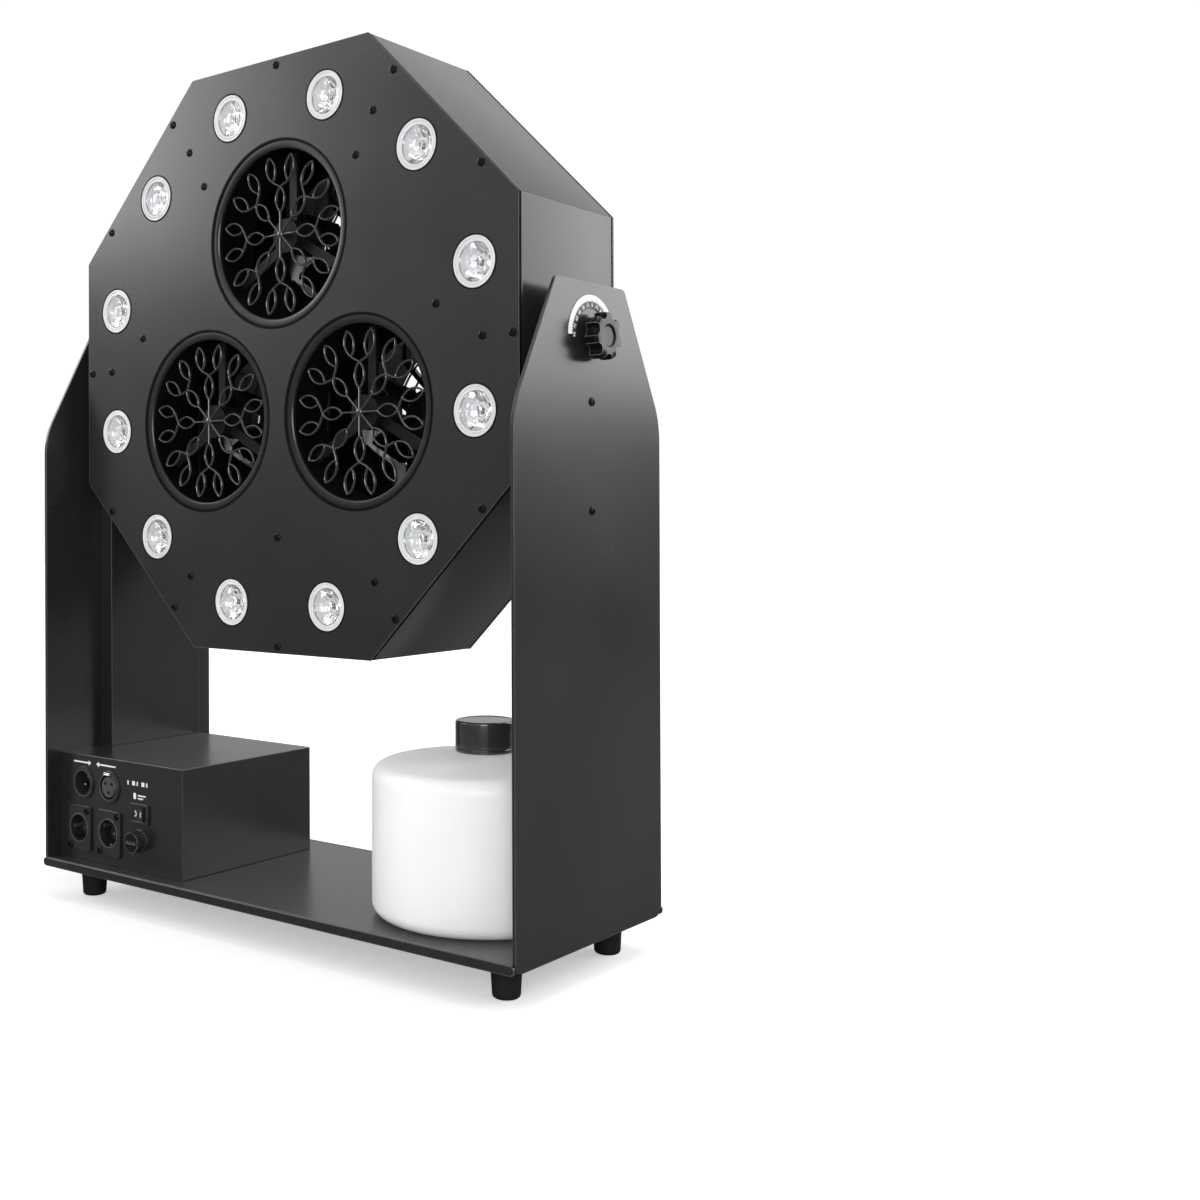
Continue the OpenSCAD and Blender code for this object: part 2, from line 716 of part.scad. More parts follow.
// Screw places on the rim of the front and of the back: [x, z]
rim_in = 5;
rim_off = 51 / 87 * half_facet;
rim_places = concat(
  [for (a = [0:90:270]) polar(head_w / 2 - rim_in, a)],
  [for (a = [45:90:315], s = [-1, 1]) polar(head_w / 2 - rim_in, a) + s * rim_off * polar(1, a + 90)]);
// Screws that hold the internal brackets behind the front
bracket_places = concat(
  [for (a = [0:60:300]) polar(lamp_ring_r, a)],
  [for (a = [60, 120]) polar(lamp_ring_r - 31.5, a)],
  [for (a = [9.2, 170.8]) polar(lamp_ring_r - 35.5, a)],
  [polar(lamp_ring_r - 53.5, -90)]);

module front_panel() color("#26272b") at_head() difference() {
  slab(face_y, panel_back_y) octagon(head_w);
  for (k = [0:2]) translate(outlet_place(k)) rod(face_y - 1, panel_back_y + 1, bezel_r);
  for (a = lamp_angles) rod(face_y - 1, panel_back_y + 1, lens_r, polar(lamp_ring_r, a));
  for (p = concat(rim_places, bracket_places)) rod(face_y - 1, panel_back_y + 1, m3_r + screw_slack, p);
}

// The octagonal band of the head, with a flange folded in at each end
module head_shell() color("#26272b") at_head() difference() {
  slab(panel_back_y, back_y - head_t) octagon(head_w);
  slab(panel_back_y + head_t, back_y - 2 * head_t) octagon(head_w - 2 * head_t);
  slab(panel_back_y - 1, back_y) octagon(head_w - 2 * shell_flange_w);
  for (p = rim_places) rod(panel_back_y - 1, back_y, m3_r + running_gap, p);
  for (side = [-1, 1]) on_side(side)
    cross_rod(head_w / 2 - head_t - 1, head_w / 2 + 1, bush_spigot_r + 0.1);
}

module back_panel() color("#26272b") at_head() difference() {
  slab(back_y - head_t, back_y) octagon(head_w);
  for (k = [0:2]) translate(outlet_place(k)) {
    rod(back_y - head_t - 1, back_y + 1, fan_bore_r);
    for (p = fan_screw_places) rod(back_y - head_t - 1, back_y + 1, m3_r + screw_slack, p);
  }
  for (p = rim_places) rod(back_y - head_t - 1, back_y + 1, m3_r + screw_slack, p);
}

fan_screw_places = [for (a = [-1, 1], b = [-1, 1]) fan_hole_offset * [a, b]];

module face_screws() color("#151517") at_head() translate([0, face_y, 0]) {
  for (p = rim_places) translate([p[0], 0, p[1]]) m3_screw(8);
  for (p = bracket_places) translate([p[0], 0, p[1]]) {
    m3_screw(8);
    translate([0, head_t + m3_nut_h, 0]) rotate([90, 0, 0]) cylinder(h = m3_nut_h, r = 3.1, $fn = 6);
  }
}

module back_screws() color("#151517") at_head() translate([0, back_y, 0]) mirror([0, 1, 0]) {
  for (p = rim_places) translate([p[0], 0, p[1]]) m3_screw(8);
  for (k = [0:2], p = fan_screw_places) translate(outlet_place(k) + [p[0], 0, p[1]]) m3_screw(8);
}

// Ring behind the hole of the front panel, with the barrel that the wand wheel turns in
module bezel(k) color("#1d1e21") at_outlet(k) difference() {
  union() {
    rod(panel_back_y, panel_back_y + bezel_flange_t, bezel_flange_r);
    rod(panel_back_y, barrel_back_y, outlet_r + barrel_t);
  }
  rod(panel_back_y - 1, barrel_back_y + 1, outlet_r);
}

module lamp_lenses() color([0.92, 0.95, 0.97, 0.6]) at_head()
  for (a = lamp_angles) translate([polar(lamp_ring_r, a)[0], face_y, polar(lamp_ring_r, a)[1]])
    rotate([-90, 0, 0]) rotate_extrude() polygon([
      [0, 1.2], [lens_r * 0.3, 0.6], [lens_r * 0.45, 0.9], [lens_r * 0.62, 0], [lens_r - lens_slack, 0],
      [lens_r - lens_slack, lens_rim_t], [lens_r * 0.8, lens_rim_t + 1],
      [lens_tip_r, lens_depth], [0, lens_depth]]);

module lamp_modules() color("#55575b") at_head()
  for (a = lamp_angles) translate([polar(lamp_ring_r, a)[0], face_y + lens_depth, polar(lamp_ring_r, a)[1]]) {
    rod(0, lamp_board_t, lamp_board_r);
    difference() {
      rod(lamp_board_t, lamp_board_t + lamp_sink_l, lamp_sink_r);
      for (s = [-2:2]) block([s * 5.5 - 1, lamp_board_t + 4, -lens_r], [s * 5.5 + 1, lens_r + 9, lens_r]);
    }
  }

// A straight wire between two points
module wire(a, b) {
  d = b - a;
  translate(a) rotate(atan2(d[1], d[0])) translate([0, -wand_wire / 2]) square([norm(d), wand_wire]);
}

// A pointed leaf-shaped loop of wire, from the origin out along +x
module leaf(l, w) difference() {
  leaf_shape(l, w);
  translate([wand_wire, 0]) leaf_shape(l - 2 * wand_wire, w - 2 * wand_wire);
}

// The area shared by two circles, l long and w wide
module leaf_shape(l, w) {
  r = (l * l + w * w) / (4 * w);
  intersection() {
    translate([l / 2, r - w / 2]) circle(r = r);
    translate([l / 2, w / 2 - r]) circle(r = r);
  }
}

// Front view of a wand wheel: each spoke carries an inner loop and branches to two outer loops
module wand_outline() {
  circle(r = wand_hub_r);
  for (a = [0:360 / wand_spokes:359]) rotate(a) {
    wire([0, 0], [inner_leaf_r + wand_wire, 0]);
    translate([inner_leaf_r, 0]) leaf(inner_leaf_l, leaf_w);
    for (s = [-1, 1]) {
      wire([inner_leaf_r + inner_leaf_l - wand_wire, 0],
           polar(outer_leaf_r + wand_wire / 2, s * branch_angle));
      rotate(s * branch_angle) translate([outer_leaf_r, 0]) leaf(wand_r - outer_leaf_r, leaf_w);
    }
  }
}

// Bubble wand wheel, moulded in one piece
module wand(k) color("#141416") at_outlet(k) difference() {
  union() {
    slab(wand_front_y, wand_front_y + wand_t)
      offset(delta = wand_swell) wand_outline($fn = 16);
    rod(wand_front_y - 1, wand_front_y + wand_t, wand_hub_r);
  }
  rod(wand_front_y + 0.8, wand_front_y + wand_t + 1, shaft_r + running_gap);
}

// Geared motor on a three-armed spider across the barrel
module wand_motor(k) color("#2f3033") at_outlet(k) {
  rod(wand_front_y + 1.2, motor_front_y + 1, shaft_r);
  rod(motor_front_y, motor_front_y + motor_l, motor_r);
  intersection() {
    for (a = [30, 150, 270]) rotate([0, a, 0])
      block([0, motor_front_y + 8, -motor_arm_w / 2], [outlet_r + 1, motor_front_y + 8 + motor_arm_t, motor_arm_w / 2]);
    rod(motor_front_y, motor_front_y + motor_l, outlet_r);
  }
}

module fan_frame(k) color("#1b1b1d") at_outlet(k) {
  fan_back_y = fan_front_y + fan_depth;
  difference() {
    union() {
      for (y = [fan_front_y, fan_back_y - fan_flange_t]) slab(y, y + fan_flange_t)
        rounded_rect(fan_size, fan_size, 5);
      rod(fan_front_y, fan_back_y, fan_bore_r + fan_barrel_t);
    }
    rod(fan_front_y - 1, fan_back_y + 1, fan_bore_r);
    for (p = fan_screw_places) rod(fan_front_y - 1, fan_back_y + 1, m3_r + running_gap, p);
  }
  rod(fan_back_y - 6, fan_back_y, fan_hub_r);
  rod(fan_front_y + 12, fan_back_y - 5, shaft_r);
  for (a = [45:90:315]) rotate([0, a, 0])
    block([fan_hub_r - 1, fan_back_y - 4, -2], [fan_bore_r + 0.5, fan_back_y - 1, 2]);
}

module fan(k) color("#17171a") at_outlet(k) {
  front = fan_front_y + 4;
  back = fan_front_y + fan_depth - 6 - air;
  difference() {
    union() {
      rod(front, back, fan_hub_r);
      intersection() {
        for (a = [0:360 / fan_blades:359]) rotate([0, a, 0])
          translate([fan_hub_r - 3, (front + back) / 2, 0]) rotate([fan_blade_pitch, 0, 0])
            translate([0, -15, -fan_blade_t / 2]) cube([fan_bore_r, 30, fan_blade_t]);
        rod(front, back, fan_bore_r - fan_tip_gap);
      }
    }
    rod(fan_front_y + 8, back + 1, shaft_r + running_gap);
  }
}

// Ring guards over the fan inlets, on the back of the head
module finger_guards() color("#232427") for (k = [0:2]) at_outlet(k) {
  for (n = [1:guard_rings]) difference() {
    rod(back_y, back_y + guard_wire, fan_bore_r * n / guard_rings + guard_wire / 2);
    rod(back_y - 1, back_y + guard_wire + 1, fan_bore_r * n / guard_rings - guard_wire / 2);
  }
  for (a = [45:90:315]) rotate([0, a, 0])
    block([0, back_y, -guard_wire / 2], [fan_bore_r + guard_wire, back_y + guard_wire, guard_wire / 2]);
}

// Heated block that turns fluid to fog, in its sheet jacket with two spigots
module fog_heater() color("#8f9296") at_head() translate([heater_place[0], 0, heater_place[1]]) {
  x = heater_size[0] / 2;
  z = heater_size[2] / 2;
  heater_back_y = heater_front_y + heater_size[1];
  block([-x, heater_front_y, -z], [x, heater_back_y, z]);
  for (s = [-1, 1]) {
    rod(heater_front_y - spigot_l, heater_front_y + 1, spigot_r, [s * spigot_dx, spigot_dz]);
    block([s * (x - heater_foot[1]) - heater_foot[0] / 2, heater_back_y - 1, -heater_foot[1] / 2],
          [s * (x - heater_foot[1]) + heater_foot[0] / 2, back_y - head_t, heater_foot[1] / 2]);
  }
}

// Splitter that shares the fluid between the three wand wheels
module fluid_manifold() color("#c7a45a") at_head() {
  y0 = panel_back_y + bezel_flange_t + manifold_gap;
  y1 = y0 + manifold_l;
  rod(y0, y1, manifold_r);
  for (a = outlet_angles) rotate([0, -a, 0])
    cross_rod(0, manifold_r + manifold_barb_l, manifold_barb_r, [y0 + manifold_r + 1, 0]);
  rod(y1 - 1, y1 + manifold_barb_l + 2, manifold_barb_r);
}

base_plate();
side_plate(-1);  // left_side_plate
side_plate(1);  // right_side_plate
foot(-1, -1);  // front_left_foot
foot(1, -1);  // front_right_foot
foot(-1, 1);  // rear_left_foot
foot(1, 1);  // rear_right_foot
foot_screws();
duct(-1, box_top_z);  // left_duct
duct(1, cap_top_z + bottle_clear);  // right_duct
frame_screws();
dial(-1);  // left_dial
dial(1);  // right_dial
knob(-1);  // left_knob
knob(1);  // right_knob
pivot_bush(-1);  // left_pivot_bush
pivot_bush(1);  // right_pivot_bush
control_box();
data_inlet();
data_outlet();
outlet_latch();
mains_connector(mains_in_place, [0, 180]);  // mains_inlet
mains_connector(mains_out_place, [90, 210, 330]);  // mains_outlet
contact_pins();
switch_frame();
switch_rocker();
fuse_holder();
fuse_cap();
fuse();
power_supply();
control_board();
fluid_pump();
bottle();
cap_liner();
bottle_cap();
front_panel();
head_shell();
back_panel();
face_screws();
back_screws();
bezel(0);  // top_bezel
bezel(1);  // left_bezel
bezel(2);  // right_bezel
lamp_lenses();
lamp_modules();
wand(0);  // top_wand
wand(1);  // left_wand
wand(2);  // right_wand
wand_motor(0);  // top_wand_motor
wand_motor(1);  // left_wand_motor
wand_motor(2);  // right_wand_motor
fan_frame(0);  // top_fan_frame
fan_frame(1);  // left_fan_frame
fan_frame(2);  // right_fan_frame
fan(0);  // top_fan
fan(1);  // left_fan
fan(2);  // right_fan
finger_guards();
fog_heater();
fluid_manifold();
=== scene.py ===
"""Looks of the stage fog and bubble machine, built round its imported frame.

Every piece is made in metres, in the frame's own axes: +Z up and the front towards -Y.
"""

from __future__ import annotations

import json
import logging
import math
from collections.abc import Callable, Iterator, Sequence
from contextlib import contextmanager
from dataclasses import dataclass
from enum import Enum
from functools import cache

import bmesh
import bpy
from mathutils import Euler, Matrix, Vector

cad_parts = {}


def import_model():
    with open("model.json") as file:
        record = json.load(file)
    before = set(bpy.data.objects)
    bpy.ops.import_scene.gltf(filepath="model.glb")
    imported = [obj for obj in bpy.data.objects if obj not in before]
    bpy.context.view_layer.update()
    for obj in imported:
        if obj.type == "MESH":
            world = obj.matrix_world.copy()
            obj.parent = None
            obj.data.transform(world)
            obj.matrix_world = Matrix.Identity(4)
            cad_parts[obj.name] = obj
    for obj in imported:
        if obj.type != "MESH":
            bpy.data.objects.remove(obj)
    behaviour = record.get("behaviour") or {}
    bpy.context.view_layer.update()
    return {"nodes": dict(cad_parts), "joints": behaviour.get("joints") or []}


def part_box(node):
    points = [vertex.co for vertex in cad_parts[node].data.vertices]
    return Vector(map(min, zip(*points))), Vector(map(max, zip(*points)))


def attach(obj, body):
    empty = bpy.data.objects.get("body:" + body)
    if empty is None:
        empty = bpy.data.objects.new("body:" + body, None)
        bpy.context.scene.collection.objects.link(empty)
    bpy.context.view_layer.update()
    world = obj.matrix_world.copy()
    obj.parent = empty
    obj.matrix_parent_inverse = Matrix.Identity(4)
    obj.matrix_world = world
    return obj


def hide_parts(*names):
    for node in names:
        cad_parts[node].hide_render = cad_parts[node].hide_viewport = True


LOG = logging.getLogger("fog_machine")
TURN = 2 * math.pi
MM = 0.001
Colour = tuple[float, float, float]
Point = tuple[float, float]

SPECKLE_SHARE = 0.12
DUST_COLOUR = (0.35, 0.34, 0.32)
# Painted highlight: colour and reach of the lighter band laid along folds and edges, standing in for the
# light that the edges catch.
EDGE_HIGHLIGHT_COLOUR = (0.3, 0.3, 0.31)
EDGE_HIGHLIGHT_REACH = 0.7 * MM
PLASTIC_IOR = 1.49
COAT_ROUGHNESS = 0.08
BLOOM_REACH = (0.009, 0.008, 0.007)
CONTACT_ANGLES = (90, 210, 330)
DIAGONALS = (45, 135, 225, 315)
HALF_FACET = math.radians(22.5)


# ---- Bench tools: selecting, starting shapes and shaping them ----


def deselect() -> None:
    """Leave edit mode and select nothing."""
    if bpy.context.object and bpy.context.object.mode != "OBJECT":
        bpy.ops.object.mode_set(mode="OBJECT")
    bpy.ops.object.select_all(action="DESELECT")


def take(obj: bpy.types.Object) -> None:
    """Make one object the only selected and the active one.

    Args:
        obj: The object to take.
    """
    deselect()
    obj.select_set(True)
    bpy.context.view_layer.objects.active = obj


@contextmanager
def editing(obj: bpy.types.Object, mode: str = "FACE") -> Iterator[None]:
    """Work on one object in edit mode with nothing selected at the start.

    Args:
        obj: The object to edit.
        mode: What a click would select: VERT, EDGE or FACE.

    Yields:
        Nothing, while the object is in edit mode.
    """
    take(obj)
    bpy.ops.object.mode_set(mode="EDIT")
    bpy.ops.mesh.select_mode(type=mode)
    bpy.ops.mesh.select_all(action="DESELECT")
    yield
    bpy.ops.object.mode_set(mode="OBJECT")


def pick_faces(obj: bpy.types.Object, wanted: Callable[[Vector, Vector], bool]) -> None:
    """Select the faces that pass a test, in edit mode.

    Args:
        obj: The object in edit mode.
        wanted: The test, given a face's centre and normal.
    """
    mesh = bmesh.from_edit_mesh(obj.data)
    for face in mesh.faces:
        face.select_set(bool(wanted(face.calc_center_median(), face.normal)))
    bmesh.update_edit_mesh(obj.data)


def pick_edges(obj: bpy.types.Object, wanted: Callable[[Vector, Vector], bool]) -> None:
    """Select the edges that pass a test, in edit mode.

    Args:
        obj: The object in edit mode.
        wanted: The test, given an edge's two ends.
    """
    mesh = bmesh.from_edit_mesh(obj.data)
    for edge in mesh.edges:
        edge.select_set(bool(wanted(edge.verts[0].co, edge.verts[1].co)))
    bmesh.update_edit_mesh(obj.data)


def settle(obj: bpy.types.Object, name: str | None = None) -> bpy.types.Object:
    """Put an object's place into its mesh and name it.

    Args:
        obj: The object to settle.
        name: Its new name, if it gets one.

    Returns:
        The same object, at the origin, unturned and unscaled.
    """
    take(obj)
    bpy.ops.object.transform_apply(location=True, rotation=True, scale=True)
    if name:
        obj.name = name
        obj.data.name = name
    return obj


def tidy_shell(obj: bpy.types.Object, reach: float = 1e-6) -> None:
    """Merge doubled points and turn every face outwards.

    Args:
        obj: The object to tidy.
        reach: Largest distance between points that are merged.
    """
    with editing(obj, "VERT"):
        bpy.ops.mesh.select_all(action="SELECT")
        bpy.ops.mesh.remove_doubles(threshold=reach)
        bpy.ops.mesh.normals_make_consistent(inside=False)


def apply_modifier(obj: bpy.types.Object, kind: str, **settings: object) -> None:
    """Add a modifier with its settings and apply it.

    Args:
        obj: The object to shape.
        kind: The modifier's type.
        settings: Its settings by name.
    """
    modifier = obj.modifiers.new(kind.lower(), kind)
    for key, value in settings.items():
        setattr(modifier, key, value)
    take(obj)
    bpy.ops.object.modifier_apply(modifier=modifier.name)


def soften(obj: bpy.types.Object, width: float, segments: int = 2, angle: float = 40) -> None:
    """Round every edge sharper than an angle and shade the result smoothly.

    Args:
        obj: The object to soften.
        width: Width of the rounding.
        segments: Faces across it.
        angle: Smallest angle between faces that is rounded, in degrees.
    """
    take(obj)
    bpy.ops.object.shade_smooth()
    apply_modifier(
        obj,
        "BEVEL",
        width=width,
        segments=segments,
        limit_method="ANGLE",
        angle_limit=math.radians(angle),
        harden_normals=True,
    )


def smooth(obj: bpy.types.Object, angle: float = 35) -> bpy.types.Object:
    """Shade an object smoothly except across sharp edges.

    Args:
        obj: The object to shade.
        angle: Largest angle between faces that is smoothed over, in degrees.

    Returns:
        The same object.
    """
    take(obj)
    bpy.ops.object.shade_smooth_by_angle(angle=math.radians(angle))
    return obj


def join(parts: Sequence[bpy.types.Object], name: str) -> bpy.types.Object:
    """Join several objects into one with a name.

    Args:
        parts: The objects; the first one takes in the others.
        name: The name of the joined object and its mesh.

    Returns:
        The joined object.
    """
    deselect()
    for part in parts:
        part.select_set(True)
    bpy.context.view_layer.objects.active = parts[0]
    if len(parts) > 1:
        bpy.ops.object.join()
    parts[0].name = name
    parts[0].data.name = name
    return parts[0]


def copy_at(source: bpy.types.Object, where: Matrix) -> bpy.types.Object:
    """Copy an object with its own mesh, moved and turned.

    Args:
        source: The object to copy.
        where: Where the copy goes; a mirroring keeps its faces outwards.

    Returns:
        The copy.
    """
    twin = source.copy()
    twin.data = source.data.copy()
    bpy.context.scene.collection.objects.link(twin)
    twin.data.transform(where)
    if where.determinant() < 0:
        with editing(twin):
            bpy.ops.mesh.select_all(action="SELECT")
            bpy.ops.mesh.flip_normals()
    return twin


def repeat(source: bpy.types.Object, places: Sequence[Matrix], name: str) -> bpy.types.Object:
    """Put a copy of an object at each place, as one object, and drop the original.

    Args:
        source: The object to copy, made at the origin.
        places: Where the copies go.
        name: The name of the joined copies.

    Returns:
        The joined copies.
    """
    made = join([copy_at(source, place) for place in places], name)
    bpy.data.objects.remove(source)
    return made


def cut(obj: bpy.types.Object, tool: bpy.types.Object) -> None:
    """Take the shape of one object out of another and drop the tool."""
    apply_modifier(obj, "BOOLEAN", operation="DIFFERENCE", solver="EXACT", object=tool)
    bpy.data.objects.remove(tool)


def rod(start: Vector, end: Vector, radius: float, sides: int = 32) -> bpy.types.Object:
    """Make a round rod between two points.

    Args:
        start: Middle of one end.
        end: Middle of the other end.
        radius: Its radius.
        sides: Faces round it.

    Returns:
        The rod, settled.
    """
    line = end - start
    bpy.ops.mesh.primitive_cone_add(
        vertices=sides,
        radius1=radius,
        radius2=radius,
        depth=line.length,
        location=(start + end) / 2,
        rotation=line.to_track_quat("Z", "Y").to_euler(),
    )
    return settle(bpy.context.object)


def box(low: Vector, high: Vector) -> bpy.types.Object:
    """Make a block between two corners.

    Args:
        low: Its lowest corner.
        high: Its highest corner.

    Returns:
        The block, settled.
    """
    bpy.ops.mesh.primitive_cube_add(size=1, location=(low + high) / 2)
    bpy.context.object.scale = high - low
    return settle(bpy.context.object)


def rounded(corners: Sequence[tuple[float, float, float]], steps: int = 8) -> list[Point]:
    """Work out an outline with rounded corners.

    Args:
        corners: The corners in order, each with its radius.
        steps: Straight pieces in each arc.

    Returns:
        The points of the outline.
    """
    points: list[Point] = []
    for i, (x, y, radius) in enumerate(corners):
        here = Vector((x, y))
        before = (Vector(corners[i - 1][:2]) - here).normalized()
        after = (Vector(corners[(i + 1) % len(corners)][:2]) - here).normalized()
        if radius <= 0:
            points.append((x, y))
            continue
        half = before.angle(after) / 2
        centre = here + (before + after).normalized() * radius / math.sin(half)
        first = here + before * radius / math.tan(half) - centre
        last = here + after * radius / math.tan(half) - centre
        turn = math.atan2(first.x * last.y - first.y * last.x, first.dot(last))
        for k in range(steps + 1):
            angle = turn * k / steps
            points.append(
                (
                    centre.x + first.x * math.cos(angle) - first.y * math.sin(angle),
                    centre.y + first.x * math.sin(angle) + first.y * math.cos(angle),
                )
            )
    return points


def rounded_rectangle(width: float, height: float, radius: float, steps: int = 6) -> list[Point]:
    """Outline of a rectangle round the origin with rounded corners."""
    w, h = width / 2, height / 2
    return rounded([(-w, -h, radius), (w, -h, radius), (w, h, radius), (-w, h, radius)], steps)


class Across(Enum):
    """The axis that a flat outline is drawn across, with how its two numbers are placed."""

    X = ("y", "z")
    Y = ("x", "z")
    Z = ("x", "y")

    @property
    def direction(self) -> Vector:
        """The axis itself."""
        return Vector([float(self.name == letter) for letter in "XYZ"])

    def place(self, point: Point, along: float = 0.0) -> Vector:
        """Put a point of the outline in space.

        Args:
            point: The point of the outline.
            along: Its distance along the axis.

        Returns:
            The point in space.
        """
        spot = self.direction * along
        for letter, number in zip(self.value, point):
            setattr(spot, letter, number)
        return spot


def plate(
    outline: Sequence[Point], start: float, end: float, across: Across, at: Vector = Vector()
) -> bpy.types.Object:
    """Make a solid plate from a flat outline.

    Args:
        outline: The points of the outline.
        start: Where the plate begins along its axis.
        end: Where it ends.
        across: The axis through its thickness.
        at: A shift of the whole plate.

    Returns:
        The plate, settled.
    """
    bpy.ops.mesh.primitive_circle_add(vertices=len(outline), radius=1, fill_type="NGON")
    obj = settle(bpy.context.object)
    for vertex, point in zip(obj.data.vertices, outline):
        vertex.co = across.place(point, start) + at
    with editing(obj):
        bpy.ops.mesh.select_all(action="SELECT")
        bpy.ops.mesh.extrude_region_move(
            TRANSFORM_OT_translate={"value": across.direction * (end - start)}
        )
        bpy.ops.mesh.select_all(action="SELECT")
        bpy.ops.mesh.normals_make_consistent(inside=False)
    return obj


def turned(
    profile: Sequence[Point],
    at: Vector,
    across: Across,
    steps: int = 64,
    closed: bool = False,
    away: float = 1.0,
) -> bpy.types.Object:
    """Spin a profile round an axis, as on a lathe.

    Args:
        profile: Points of (radius, distance along the axis).
        at: The point that distances count from.
        across: The axis.
        steps: Faces round it.
        closed: Whether the profile is a ring that keeps off the axis.
        away: 1 to count along the axis and -1 to count against it.

    Returns:
        The turned piece, settled, with closed poles.
    """
    bpy.ops.mesh.primitive_circle_add(vertices=len(profile), radius=1, fill_type="NOTHING")
    obj = settle(bpy.context.object)
    for vertex, (radius, along) in zip(obj.data.vertices, profile):
        vertex.co = at + across.place((radius, 0), along * away)
    last = len(profile) - 1
    with editing(obj, "EDGE"):
        if not closed:
            mesh = bmesh.from_edit_mesh(obj.data)
            for edge in mesh.edges:
                edge.select_set({v.index for v in edge.verts} == {0, last})
            bmesh.update_edit_mesh(obj.data)
            bpy.ops.mesh.delete(type="EDGE_FACE")
        bpy.ops.mesh.select_all(action="SELECT")
        bpy.ops.mesh.spin(
            steps=steps, angle=TURN, center=at, axis=across.direction, use_auto_merge=True
        )
    tidy_shell(obj)
    return smooth(obj)


def spots(points: Sequence[Vector], turn: Euler | None = None) -> list[Matrix]:
    """Places for copies of a piece made at the origin."""
    spin = (turn or Euler()).to_matrix().to_4x4()
    return [Matrix.Translation(point) @ spin for point in points]


def polar(radius: float, degrees: float) -> Point:
    """A point at a distance and an angle."""
    return radius * math.cos(math.radians(degrees)), radius * math.sin(math.radians(degrees))


# ---- Finishes ----


class Nodes:
    """Lays and links the nodes of one tree."""

    def __init__(self, tree: bpy.types.NodeTree) -> None:
        """Start with an empty tree."""
        self.tree = tree
        tree.nodes.clear()

    def add(self, kind: str, **sockets: object) -> bpy.types.Node:
        """Add a node and set or link its inputs.

        Args:
            kind: The node's type, without the ShaderNode prefix where it has one.
            sockets: Inputs by name, with _ for spaces; a socket links and a number sets.

        Returns:
            The node.
        """
        full = kind if kind.startswith("Node") else "ShaderNode" + kind
        node = self.tree.nodes.new(full)
        for key, value in sockets.items():
            self.feed(node, key.replace("_", " "), value)
        return node

    def group(self, tree: bpy.types.NodeTree, **sockets: object) -> bpy.types.Node:
        """Place a node group and set or link its inputs.

        Args:
            tree: The group.
            sockets: Its inputs by name.

        Returns:
            The group's node.
        """
        node = self.add("Group")
        node.node_tree = tree
        for key, value in sockets.items():
            self.feed(node, key, value)
        return node

    def work_out(self, kind: str, operation: str, *values: object) -> bpy.types.Node:
        """Add a Math or VectorMath node.

        Args:
            kind: Math or VectorMath.
            operation: What it works out.
            values: Its inputs in order.

        Returns:
            The node.
        """
        node = self.add(kind)
        node.operation = operation
        for index, value in enumerate(values):
            self.feed(node, index, value)
        return node

    def feed(self, node: bpy.types.Node, name: str | int, value: object) -> None:
        """Set or link one input of a node.

        Args:
            node: The node.
            name: The input's name or number.
            value: A socket to link or a value to set.
        """
        if isinstance(value, bpy.types.NodeSocket):
            self.tree.links.new(value, node.inputs[name])
        else:
            node.inputs[name].default_value = value


def start_group(
    name: str, inputs: dict[str, str], outputs: dict[str, str]
) -> tuple[Nodes, dict[str, bpy.types.NodeSocket], bpy.types.Node]:
    """Begin a shader node group with named sockets.

    Args:
        name: The group's name.
        inputs: Socket types by input name.
        outputs: Socket types by output name.

    Returns:
        The tree's nodes, its input sockets by name, and its output node.
    """
    tree = bpy.data.node_groups.new(name, "ShaderNodeTree")
    for side, sockets in (("INPUT", inputs), ("OUTPUT", outputs)):
        for label, kind in sockets.items():
            tree.interface.new_socket(label, in_out=side, socket_type="NodeSocket" + kind)
    nodes = Nodes(tree)
    given = nodes.add("NodeGroupInput")
    result = nodes.add("NodeGroupOutput")
    return nodes, {s.name: s for s in given.outputs if s.name}, result


@cache
def grain_group() -> bpy.types.NodeTree:
    """Fine relief of a surface, from noise that a stretch can draw out into brush lines.

    Returns:
        The group.
    """
    nodes, given, result = start_group(
        "surface_grain",
        {"Place": "Vector", "Stretch": "Vector", "Fineness": "Float", "Depth": "Float"},
        {"Normal": "Vector", "Speckle": "Float"},
    )
    scaled = nodes.work_out("VectorMath", "MULTIPLY", given["Place"], given["Stretch"])
    noise = nodes.add("TexNoise", Vector=scaled.outputs[0], Scale=given["Fineness"], Detail=3.0)
    bump = nodes.add("Bump", Strength=1.0, Distance=given["Depth"], Height=noise.outputs[0])
    nodes.feed(result, "Normal", bump.outputs["Normal"])
    nodes.feed(result, "Speckle", noise.outputs[0])
    return nodes.tree


@cache
def drift_group() -> bpy.types.NodeTree:
    """Slow drift of colour and roughness over a surface, with a finer speckle on top.

    Returns:
        The group.
    """
    nodes, given, result = start_group(
        "tone_drift",
        {
            "Place": "Vector",
            "Blotches": "Float",
            "Speckle": "Float",
            "Dark": "Color",
            "Light": "Color",
            "Smoothest": "Float",
            "Roughest": "Float",
        },
        {"Colour": "Color", "Roughness": "Float"},
    )
    noise = nodes.add("TexNoise", Vector=given["Place"], Scale=given["Blotches"], Detail=4.0)
    both = nodes.work_out("Math", "MULTIPLY_ADD", given["Speckle"], SPECKLE_SHARE, noise.outputs[0])
    share = nodes.add("MapRange", Value=both.outputs[0], From_Min=0.36, From_Max=0.78)
    mix = nodes.add("MixRGB", Fac=share.outputs[0], Color1=given["Dark"], Color2=given["Light"])
    rough = nodes.add(
        "MapRange", Value=share.outputs[0], To_Min=given["Smoothest"], To_Max=given["Roughest"]
    )
    nodes.feed(result, "Colour", mix.outputs[0])
    nodes.feed(result, "Roughness", rough.outputs[0])
    return nodes.tree


